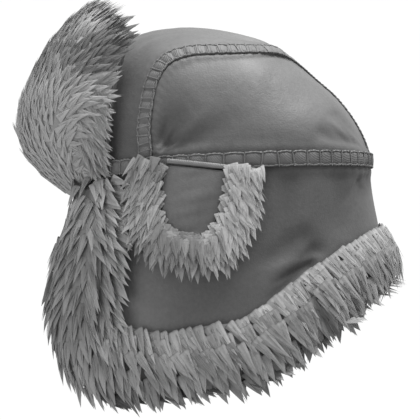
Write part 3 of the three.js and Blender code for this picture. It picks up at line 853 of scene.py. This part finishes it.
# Seeded draws for a group of locks: stray from the flow, length, width and change of tone
def draw_locks(rng, count, draw):
    stray = rng.normal(0, draw[0], (count, 3))
    length, width, change = (rng.uniform(low, high, count) for low, high in draw[1:])
    return stray, length, width, change


# One fur piece: a soft backing of the tone under, dim as painted shade between the locks, with its locks
def add_fur(name, node, backing, locks, under):
    points, faces = join([backing] + [lock[:2] for lock in locks])
    shade = np.concatenate([np.full(len(backing[0]), under)] + [lock[2] for lock in locks])
    add_piece(name, points, faces, FUR, "fur", node, shade, smooth=False)


# Painted light and shade on the cloth: lighter high on the crown, towards the back and low on the skirt,
# most at the front; darker in folds and just above the band seam
def painted_cloth_light(points):
    y, z = points[:, 1], points[:, 2]
    rise = np.clip(z / CROWN_HEIGHT, 0, 1)
    hollow = np.clip(fold_depth(y, z) / FOLD_DEPTH, -0.6, 1.4)
    fall = np.clip(-z / EAR_DROP, 0, 1)
    front = ease((-y - 20) / 60)
    # Painted light and shade: height, folds, back and low front set the cloth's lightness
    shade = 0.44 + 0.4 * rise**0.8 + 0.45 * fall + 1.7 * front * fall
    back = ease((y - 10) / 60) * ease(z / 30)
    return np.clip(shade + 0.3 * back - 0.36 * hollow - 0.1 * hump(z, 4, 24) * (z > 0), 0, 2) / 2


# One cloth piece: a closed wall with the painted light and shade of the cloth, or one even shade
def add_cloth(name, node, slot, steps, outer, inner, even=None):
    points, faces = wall(*steps, outer, inner)
    shade = painted_cloth_light(points) if even is None else np.full(len(points), even)
    add_piece(name, points, faces, CLOTHS[slot], slot, node, shade)


def new_material(name):
    material = bpy.data.materials.new(name)
    material.use_nodes = True
    tree = material.node_tree
    return material, tree, tree.nodes["Principled BSDF"]


def set_inputs(node, values):
    for name, value in values.items():
        node.inputs[name].default_value = value


def object_place(tree):
    return tree.nodes.new("ShaderNodeTexCoord").outputs["Object"]


# Value of the attribute that add_piece stores for each point
def stored_shade(tree):
    node = tree.nodes.new("ShaderNodeAttribute")
    node.attribute_name = "shade"
    return node.outputs["Fac"]


def noise(tree, place, scale, detail=3.0):
    node = tree.nodes.new("ShaderNodeTexNoise")
    set_inputs(node, {"Scale": scale, "Detail": detail, "Roughness": 0.5})
    tree.links.new(place, node.inputs["Vector"])
    return node.outputs["Fac"]


def ramp(tree, value, low, high, start=0.0, end=1.0):
    node = tree.nodes.new("ShaderNodeValToRGB")
    first, last = node.color_ramp.elements
    first.position = start
    last.position = end
    first.color = (low, low, low, 1)
    last.color = (high, high, high, 1)
    tree.links.new(value, node.inputs["Fac"])
    return node.outputs["Color"]


# Soft spots of noise, from one value to another
def spots(tree, place, scale, low, high, detail=3.0):
    return ramp(tree, noise(tree, place, scale, detail), low, high, 0.3, 0.7)


def multiply(tree, first, second):
    node = tree.nodes.new("ShaderNodeMix")
    node.data_type = "RGBA"
    node.blend_type = "MULTIPLY"
    node.inputs["Factor"].default_value = 1.0
    tree.links.new(first, node.inputs["A"])
    tree.links.new(second, node.inputs["B"])
    return node.outputs["Result"]


def bump(tree, height, strength, distance, below=None):
    node = tree.nodes.new("ShaderNodeBump")
    set_inputs(node, {"Strength": strength, "Distance": distance})
    tree.links.new(height, node.inputs["Height"])
    if below is not None:
        tree.links.new(below, node.inputs["Normal"])
    return node.outputs["Normal"]


# Smooth coated cloth with a fine leather-like grain and soft blotches; its tone follows the stored shade,
# painted light and shade on the crown and skirt cloth
def cloth_material(name, tone, rough):
    material, tree, shader = new_material(name)
    place = object_place(tree)
    # Painted light and shade: the stored shade ramps the cloth's tone darker and lighter
    painted_light_tone = ramp(tree, stored_shade(tree), tone * CLOTH_DARK, tone * CLOTH_LIGHT)
    colour = multiply(tree, painted_light_tone, spots(tree, place, 28, 0.92, 1.08))
    colour = multiply(tree, colour, spots(tree, place, 420, 0.92, 1.06, 4))
    tree.links.new(colour, shader.inputs["Base Color"])
    tree.links.new(spots(tree, place, 60, rough - 0.06, rough + 0.08), shader.inputs["Roughness"])
    grain = tree.nodes.new("ShaderNodeTexVoronoi")
    grain.inputs["Scale"].default_value = 950
    tree.links.new(place, grain.inputs["Vector"])
    fine = bump(tree, grain.outputs["Distance"], 0.25, 0.0003)
    coarse = bump(tree, noise(tree, place, 170, 5), 0.22, 0.0012, fine)
    tree.links.new(coarse, shader.inputs["Normal"])
    set_inputs(shader, {"Specular IOR Level": 0.25, "Sheen Weight": 0.12, "Sheen Roughness": 0.5})
    return material


# Woven tape, thread and binding: a fine twill bump over a plain tone
def thread_material(name, tone, rough, scale):
    material, tree, shader = new_material(name)
    place = object_place(tree)
    blotch = spots(tree, place, 90, tone * 0.85, tone * 1.12)
    tree.links.new(blotch, shader.inputs["Base Color"])
    weave = tree.nodes.new("ShaderNodeTexWave")
    weave.bands_direction = "DIAGONAL"
    set_inputs(weave, {"Scale": scale, "Distortion": 1.2})
    tree.links.new(place, weave.inputs["Vector"])
    tree.links.new(bump(tree, weave.outputs["Fac"], 0.35, 0.0004), shader.inputs["Normal"])
    set_inputs(shader, {"Roughness": rough, "Specular IOR Level": 0.3})
    return material


# Fur: painted shade darkens the roots, the tips are lighter, each lock a little different, with fine streaks
# of hair
def fur_material(name, tone):
    material, tree, shader = new_material(name)
    place = object_place(tree)
    strand = ramp(tree, stored_shade(tree), tone * FUR_DARK, tone * FUR_LIGHT)
    colour = multiply(tree, strand, spots(tree, place, 45, 0.93, 1.07))
    colour = multiply(tree, colour, spots(tree, place, 900, 0.93, 1.05))
    tree.links.new(colour, shader.inputs["Base Color"])
    set_inputs(shader, {"Roughness": 0.7, "Specular IOR Level": 0.2})
    set_inputs(shader, {"Sheen Weight": 0.2, "Sheen Roughness": 0.5})
    return material


CLOTHS = {
    "crown_cloth": cloth_material("crown_cloth", tone=0.12, rough=0.5),
    "skirt_cloth": cloth_material("skirt_cloth", tone=0.11, rough=0.55),
}
TAPE = thread_material("seam_tape", tone=0.155, rough=0.6, scale=420)
THREAD = thread_material("seam_thread", tone=0.17, rough=0.6, scale=600)
BINDING = thread_material("binding_cloth", tone=0.24, rough=0.55, scale=420)
FUR = fur_material("fur", tone=0.335)


def add_crown():
    def centre(lift):
        edge = -PIECE_GAP / 2
        return lambda u, v: crown_point(u, mix(-1, 1, v) * seam_lean(u, edge), lift, 11)

    faces = centre(0), centre(-CLOTH_WALL)
    add_cloth("crown_centre_cloth", "crown_centre_panel", "crown_cloth", (150, 56), *faces)
    for label, side in SIDES:

        def flank(lift, side=side):
            edge = PIECE_GAP / 2
            return lambda u, v: crown_point(u, side * mix(seam_lean(u, edge), 90, v), lift, 20 + side)

        faces = flank(0), flank(-CLOTH_WALL)
        node = f"crown_side_panel_{label}"
        add_cloth(f"crown_side_cloth_{label}", node, "crown_cloth", (150, 60), *faces)


def add_skirt():
    def cloth(lift):
        return lambda u, v: skirt_point(*skirt_turn_and_drop(u, v), lift, SKIRT_SEED)

    faces = cloth(0), cloth(-CLOTH_WALL)
    add_cloth("skirt_cloth", "skirt_panel", "skirt_cloth", (300, 60), *faces)
    end = FRONT_EDGE[0][1] - math.degrees(PIECE_GAP / HALF_WIDTH)

    def brow(lift):
        def face(u, v):
            turn = mix(-end, end, u)
            return skirt_point(turn, -v * fold_height(turn / FLAP_FOLD_TURN), lift)

        return face

    add_cloth("brow_cloth", "brow_panel", "skirt_cloth", (60, 8), brow(0), brow(-CLOTH_WALL))


# The tape and the threads of one seam, as two pieces
def add_seam(name, label, tape, threads):
    add_piece(f"{name}{label}", *tape, TAPE, "seam_tape", f"{name}_tape{label}")
    add_piece(f"{name}_threads{label}", *threads, THREAD, "seam_tape")


def add_seams():
    def band(s, lift, shift):
        point = skirt_point(360 * s, 0.0 * s, lift)
        point[..., 2] += PIECE_GAP / 2 + shift
        return point

    add_seam("band_seam", "", *taped_seam(band, 780, BAND_PITCH, 31, ring=True))
    for label, side in SIDES:
        fine = np.linspace(0, 1, 800)
        line = crown_point(fine, side * seam_lean(fine), 0)
        kept = fine[line[:, 2] - seam_climb(line[:, 1], 0) > TAPE_WIDTH / 2 + 2 * PIECE_GAP]

        def path(s, lift, shift, side=side, first=kept[0], last=kept[-1]):
            t = mix(first, last, s)
            return crown_point(t, side * (seam_lean(t) + shift), lift)

        add_seam("crown_seam", f"_{label}", *taped_seam(path, 360, CROWN_PITCH, 40 + side))


# Point on the front flap's fur, or on the cloth under it where share is 0
def flap_skin(u, v, share=1.0):
    across = mix(-1, 1, u)
    fade = (1 - 0.5 * across**2) * np.sqrt(1 - 0.9 * across**8)
    depth = FLAP_FUR_DEPTH * read(FLAP_FUR_PROFILE, v) * fade
    full = share * (0.94 + 0.08 * hump(v, 0.35, 0.25))
    return flap_point(across, v, FLAP_STANDOFF + FLAP_WALL + 2 * PIECE_GAP + full * depth)


# Locks over the face of the front flap, combed up in the middle and down and back at its ends
def flap_face_locks(rng):
    u, v = spread(flap_skin, *FLAP_SPREAD, rng)
    root = flap_skin(u, v)
    normal = outward(flap_skin, u, v, unit(root - flap_skin(u, v, 0) + 1e-6))
    across = mix(-1, 1, u)
    end = ease((np.abs(across) - 0.7) / 0.3)
    up = mix(1.0, mix(-1.0, 0.7, ease(v / 0.8)), end)
    flow = stack(0.5 * across * (1 - end), end * 1.1 + 0.5 * v**3, up)
    stray, length, width, change = draw_locks(rng, len(u), FLAP_DRAW)
    way = combed(flow + stray, normal, mix(0.16, 0.3, v)[:, None])
    length = length * mix(mix(8, 11, ease(v / 0.5)), mix(13, 15, v), end)
    width = width * mix(2.2, 3.3, end * ease(v / 0.3))
    high = root[:, 2]
    # Painted light: a lighter patch high towards each end of the flap; the tone is also darker in a band and
    # towards the top
    light = ease((high - 80) / 10) * ease((np.abs(across) - 0.55) / 0.2) * (np.abs(across) < 0.85)
    band = hump(high, 64, 15) * mix(0.3, 1, end)
    tone = 0.94 - 0.56 * band - 0.72 * ease((high - 40) / 35) * (1 - light) + 0.05 * light
    tone = tone + change * mix(0.6, 1, ease(v / 0.4))
    return fur_locks(100, root, way, normal, length, width, tone)


# Long locks that hang over one end of the front flap
def flap_end_locks(rng, side):
    v = rng.uniform(0.06, 0.6, FLAP_END_LOCKS)
    across = side * rng.uniform(0.93, 0.995, FLAP_END_LOCKS)
    root = flap_skin((across + 1) / 2, v)
    normal = unit(stack(side, 0.3, 0 * v))
    flow = stack(0, mix(0.3, 0.8, v / 0.6), -1)
    stray, length, width, change = draw_locks(rng, FLAP_END_LOCKS, FLAP_END_DRAW)
    way = combed(flow + stray, normal, 0.2)
    return fur_locks(140 + side, root, way, normal, length, width, 0.66 + change)


# Locks along the top of the front flap, combed back over its edge
def flap_top_locks(rng):
    count = FLAP_TOP_LOCKS
    u = (np.arange(count) + rng.uniform(0.1, 0.9, count)) / count
    root = flap_skin(u, rng.uniform(0.93, 1.0, count))
    across = mix(-1, 1, u)
    normal = unit(stack(0.4 * across, -0.4, 1))
    stray, length, width, change = draw_locks(rng, count, FLAP_TOP_DRAW)
    way = combed(stack(0.3 * across, 1, 0.5) + stray, normal, 0.35)
    tone = mix(0.3, 0.62, ease((np.abs(across) - 0.4) / 0.3)) + change
    return fur_locks(150, root, way, normal, length, width, tone)


def add_front_flap():
    def outer(u, v):
        return flap_point(mix(-1, 1, u), v, FLAP_STANDOFF + FLAP_WALL)

    def inner(u, v):
        return flap_point(mix(-1, 1, u), v, mix(OVER_TAPE, FLAP_STANDOFF, ease(v / 0.08)))

    node = "front_flap_backing"
    add_cloth("front_flap_cloth", node, "crown_cloth", (90, 40), outer, inner, FLAP_CLOTH_SHADE)
    backing = wall(90, 50, flap_skin, lambda u, v: flap_skin(u, v, 0))
    rng = np.random.default_rng(5)
    locks = [flap_face_locks(rng)]
    for side in (-1, 1):
        locks.append(flap_end_locks(rng, side))
    locks.append(flap_top_locks(rng))
    add_fur("front_flap_locks", "front_flap_fur", backing, locks, FLAP_UNDER)


def edge_frames(s):
    return frames_at(edge_point, s, 0.006)


# Share of the trim's full width: narrow at the two ends of its path, wide at its two corners
def trim_share(s):
    corner = (from_end(s) - EDGE_LEG_SHARE) / 0.05
    return mix(0.45, 1, ease(from_end(s) / (0.6 * EDGE_LEG_SHARE))) + 0.25 * np.exp(-corner * corner)


# The trim's outer side reaches up and forward under the front flap at each end
def start_reach(s, side):
    near = 1 - ease(from_end(s) / 0.09)
    away = ease(side / TRIM_WIDTH / 0.6)
    return np.array([0, -5, 10]) * (near * away)[..., None]


# Corners of the trim's section at each station, from the lap on the cloth over the outside
# to the inside
def trim_loop(s):
    slim = mix(1.06, 0.84, ease((from_end(s) - EDGE_LEG_SHARE + 0.02) / 0.1))
    start = 0.26 * (1 - ease(from_end(s) / 0.15))
    width = TRIM_WIDTH * (slim * trim_share(s) + start)
    clear = 2 * PIECE_GAP
    corners = [(-TRIM_LAP, clear), (-0.4 * TRIM_LAP, 0.22 * TRIM_OUT), (0.6 * TRIM_LAP, 0.55 * TRIM_OUT)]
    for side, out in TRIM_SECTION:
        corners.append((side * width, out * ((TRIM_OUT if out > 0 else TRIM_IN) * BACKING_DEPTH)))
    corners.append((clear, -CLOTH_WALL))
    return np.stack([stack(side, out + 0 * s) for side, out in corners], axis=1)


# Point on the skin of the trim, with its outward direction and the frame of its section:
# share 0 is the edge of the lap on the cloth, 1 the edge on the inside
def trim_skin(s, share):
    at, tangent, side, out = edge_frames(s)
    section = trim_loop(s)
    edges = np.diff(section, axis=1)
    sizes = np.linalg.norm(edges, axis=-1)
    run = np.cumsum(sizes, axis=1)
    place = share * run[:, -1]
    index = np.minimum(np.sum(run < place[:, None], axis=1), sizes.shape[1] - 1)
    pick = np.arange(len(s))
    part = (place - run[pick, index]) / sizes[pick, index] + 1
    spot = section[pick, index] + edges[pick, index] * part[:, None]
    step = unit(edges[pick, index])
    root = at + side * spot[:, :1] + out * spot[:, 1:] + start_reach(s, spot[:, 0])
    normal = unit(side * -step[:, 1:] + out * step[:, :1])
    return root, normal, tangent, side


# The trim's backing, slimmer along the hem than on the two legs
def trim_backing():
    near = [corner + np.linspace(-0.012, 0.012, 13) for corner in (EDGE_LEG_SHARE, 1 - EDGE_LEG_SHARE)]
    stations = np.unique(np.round(np.concatenate([np.linspace(0, 1, 261)] + near), 5))
    lip = np.full((len(stations), 1, 2), 2 * PIECE_GAP)
    loops = np.concatenate([trim_loop(stations), lip], axis=1)[:, ::-1]
    on_hem = ease((from_end(stations) - EDGE_LEG_SHARE) / 0.03)[:, None]
    for axis, share in enumerate((BACKING_SHARE, BACKING_THICK_SHARE)):
        loops[..., axis] *= np.where(loops[..., axis] > 0, mix(1, share, on_hem), 1)
    points, faces = sweep(edge_frames(stations), loops)
    return points + start_reach(stations[:, None], loops[..., 0]).reshape(-1, 3), faces


# Locks over the whole trim, apart from the part of its hem that the lap's rows cover
def trim_fill_locks(rng):
    s, share = spread(lambda u, v: trim_skin(u, mix(FILL_START, 1, v))[0], *TRIM_SPREAD, rng)
    share = mix(FILL_START, 1, share)
    keep = (from_end(s) < EDGE_LEG_SHARE + 0.025) | (share > HEM_FILL_SHARE)
    s = s[keep]
    share = share[keep]
    root, normal, tangent, side = trim_skin(s, share)
    normal = unit(mix(edge_frames(s)[3], normal, ease(share / 0.2)[:, None]))
    outer = np.clip(share / 0.45, 0, 1)
    root[:, 2] += mix(13, 8, outer) * (1 - ease(from_end(s) / 0.035))
    inside = ease((share - 0.6) / 0.1)[:, None]
    hem = ease((from_end(s) - EDGE_LEG_SHARE + 0.015) / 0.03)
    along = tangent * np.where(s < 0.5, 1, -1)[:, None]
    leg_flow = along + side * mix(-0.8, 0.42, ease(outer / 0.7))[:, None]
    flow = mix(leg_flow, 0.2 * side + FILL_HEM_FLOW, hem[:, None]) * (1 - inside) + inside * DOWN
    stray, length, width, change = draw_locks(rng, len(s), TRIM_DRAW)
    way = combed(flow + stray + 0.2 * DOWN, normal, mix(0.22, 0.3, outer)[:, None])
    scale = mix(0.75, 1, np.minimum(trim_share(s), 1))
    rim = (1 - hem) * (np.abs(share - 0.6) < 0.07)
    length = length * scale * mix(19, 15, outer) * (1 - 0.3 * rim)
    width = width * mix(3.7, 4.1, hem) * mix(0.85, 1, scale) * (1 - 0.45 * rim)
    tone = mix(0.36, 0.38, hem) + 0.2 * (1 - ease(share / 0.14)) + change
    return fur_locks(200, root, way, normal, length, width, tone)


# Rows of long tufts along the trim's lap on the cloth
def lap_locks(rng):
    locks = []
    for row, (near, far, high, leg_lift, hem_lift) in enumerate(LAP_ROWS):
        for part, (first, last, count) in enumerate(LAP_PARTS):
            fine = np.linspace(first, last, 400)
            run = path_lengths(edge_point(fine, 0, 0))
            share = (np.arange(count) + rng.uniform(0.28, 0.72, count)) / count
            s = np.interp(share * run[-1], run, fine)
            at, tangent, side, face = edge_frames(s)
            root = at + side * rng.uniform(near, far, count)[:, None] + face * high
            root[:, 2] += 8 * (1 - ease(from_end(s) / 0.02))
            on_leg = part != 1
            leg_flow = tangent * (1 - part) - mix(1.3, 0.5, row / 2) * side
            flow = leg_flow if on_leg else 0.1 * side + LAP_HEM_FLOW
            stray, length, width, change = draw_locks(rng, count, LAP_DRAW)
            way = combed(flow + stray, face, leg_lift if on_leg else hem_lift)
            tone = 0.58 - 0.1 * row + change
            locks.append(fur_locks(210 + 3 * row + part, root, way, face, length, width, tone))
    return locks


def add_trim():
    rng = np.random.default_rng(9)
    locks = [trim_fill_locks(rng)] + lap_locks(rng)
    add_fur("skirt_trim_locks", "skirt_fur_trim", trim_backing(), locks, TRIM_UNDER)


def add_patch_cloth(label, side):
    def cloth(lift, detail):
        def face(u, v):
            across = mix(-1, 1, u)
            low = 0.985 * v
            half = PATCH_HALF_WIDTH * (1 - low ** (2 / PATCH_ROUND)) ** (PATCH_ROUND / 2)
            dome = PATCH_DOME * (1 - across**2) * np.sin(math.pi * v)
            point = patch_point(side, across * half, low * PATCH_HEIGHT, lift + dome)
            waves = ripple(point, 60 + side, *PATCH_WAVES) * detail * (1 - across**2)
            point[..., 0] += side * waves
            return point

        return face

    faces = cloth(OVER_TAPE + CLOTH_WALL, 1), cloth(OVER_TAPE, 0)
    name = f"ear_patch_cloth_{label}"
    add_cloth(name, f"ear_patch_{label}", "skirt_cloth", (40, 40), *faces, PATCH_CLOTH_SHADE)


def add_patch_fur(label, side):
    path = patch_path(side)
    half = PATCH_FUR_WIDTH / 2
    section = [(a * half, b * PATCH_FUR_DEPTH) for a, b in PATCH_FUR_SECTION]
    frames = frames_at(path, np.linspace(0, 1, 81), PATCH_STEP)
    backing = sweep(frames, repeat_section(section, 81))

    def skin(u, v):
        at, _, across, out = frames_at(path, u, PATCH_STEP)
        place = mix(-1.2, 1.02, v)
        lift = PATCH_FUR_DEPTH * (0.8 - 0.6 * np.clip(np.abs(place) - 0.5, 0, 0.5))
        lift = lift - 20 * np.maximum(np.abs(place) - 1, 0)
        return at + side * across * (place * half)[:, None] + out * np.maximum(lift, 2)[:, None]

    rng = np.random.default_rng(70 + side)
    s, v = spread(skin, *PATCH_SPREAD, rng)
    count = len(s)
    root = skin(s, v)
    _, _, across, out = frames_at(path, s, PATCH_STEP)
    near_end = 1 - ease(from_end(s) / 0.16)
    root[:, 2] += near_end * rng.uniform(0, 5, count) + 4.5 * near_end * (s > 0.5)
    fan = stack(0, -0.4 * np.cos(math.pi * s), -1)
    flow = fan + 0.2 * (side * mix(-1, 1, v))[:, None] * across
    stray, length, width, change = draw_locks(rng, count, PATCH_DRAW)
    way = combed(flow + stray, out, 0.28)
    length = length * mix(0.8, 1, ease(v / 0.4))
    # Painted light makes the back end of the U much lighter; the tone is also darker round the bottom of the
    # U and a little darker with v
    tone = 0.54 + 0.85 * ease((s - 0.45) / 0.4) - 0.22 * np.sin(math.pi * s) + change - 0.1 * v
    locks = [fur_locks(300 + side, root, way, out, length, width, tone)]
    add_fur(f"ear_patch_locks_{label}", f"ear_patch_fur_{label}", backing, locks, PATCH_UNDER)


def add_patch_binding(label, side):
    end = PATCH_HALF_WIDTH + PATCH_FUR_WIDTH
    middle = -BINDING_WIDTH / 2 - 4 * PIECE_GAP

    def edge(s, lift, shift):
        return patch_point(side, mix(-PATCH_HALF_WIDTH, end, s), middle + shift, lift + OVER_TAPE)

    angle = np.linspace(0, 2 * math.pi, 12, endpoint=False)
    across = BINDING_WIDTH / 2 * power(np.cos(angle), 0.6)
    high = BINDING_WALL / 2 * (1 + power(np.sin(angle), 0.6))
    frames = frames_at(edge, np.linspace(0, 1, 60))
    points, faces = sweep(frames, repeat_section(stack(across, high), 60))
    node = f"ear_patch_binding_{label}"
    add_piece(f"ear_patch_edge_{label}", points, faces, BINDING, "binding", node)


def add_camera():
    view = bpy.data.cameras.new("view")
    view.sensor_width = SENSOR_WIDTH
    view.lens = SENSOR_WIDTH * FOCAL_LENGTH / PHOTO_WIDTH
    camera = bpy.data.objects.new("view", view)
    camera.location = CAMERA_PLACE
    camera.rotation_euler = (math.radians(90), 0, math.radians(90))
    bpy.context.scene.collection.objects.link(camera)
    bpy.context.scene.camera = camera


def add_light(name, place, size, watts):
    light = bpy.data.lights.new(name, "AREA")
    light.size = size
    light.energy = watts
    lamp = bpy.data.objects.new(name, light)
    lamp.location = place
    aim = -np.array(place)
    lamp.rotation_euler = (math.acos(aim[2] / np.linalg.norm(aim)) + math.pi, 0, math.atan2(aim[0], -aim[1]))
    bpy.context.scene.collection.objects.link(lamp)


# Part of the studio that the camera sees, and that neither lights nor shades the hat
def add_stage(name, points, faces, material):
    mesh = bpy.data.meshes.new(name)
    mesh.from_pydata(points, [], faces)
    mesh.materials.append(material)
    stage = bpy.data.objects.new(name, mesh)
    stage.visible_diffuse = False
    stage.visible_glossy = False
    stage.visible_shadow = False
    bpy.context.scene.collection.objects.link(stage)


# Pale floor below the hat, white all round for the camera, and a dim even light with one
# large soft lamp above and a weak one low at the front
def add_studio():
    world = bpy.data.worlds.new("studio")
    world.use_nodes = True
    sky = world.node_tree.nodes["Background"]
    set_inputs(sky, {"Color": (1, 1, 1, 1), "Strength": WORLD_STRENGTH})
    bpy.context.scene.world = world
    low = FLOOR_HEIGHT
    half = FLOOR_HALF
    corners = [(-half, -half, low), (half, -half, low), (half, half, low), (-half, half, low)]
    pale, _, shader = new_material("floor")
    set_inputs(shader, {"Base Color": (0.86, 0.86, 0.86, 1), "Roughness": 0.9})
    add_stage("floor", corners, [(0, 1, 2, 3)], pale)
    white, _, shader = new_material("backdrop")
    set_inputs(shader, {"Base Color": (0, 0, 0, 1)})
    set_inputs(shader, {"Emission Color": (1, 1, 1, 1), "Emission Strength": 1.0})
    far = BACKDROP_HALF
    corners = [(x, y, z) for x in (-far, far) for y in (-far, far) for z in (-far, far)]
    sides = [(0, 1, 3, 2), (4, 6, 7, 5), (0, 4, 5, 1), (2, 3, 7, 6), (0, 2, 6, 4), (1, 5, 7, 3)]
    add_stage("backdrop", corners, sides, white)
    add_light("key", KEY_PLACE, KEY_SIZE, KEY_WATTS)
    add_light("fill", FILL_PLACE, FILL_SIZE, FILL_WATTS)


add_camera()
add_studio()
add_crown()
add_skirt()
add_seams()
add_front_flap()
add_trim()
for label, side in SIDES:
    add_patch_cloth(label, side)
    add_patch_fur(label, side)
    add_patch_binding(label, side)

bpy.context.scene.view_settings.view_transform = "Standard"
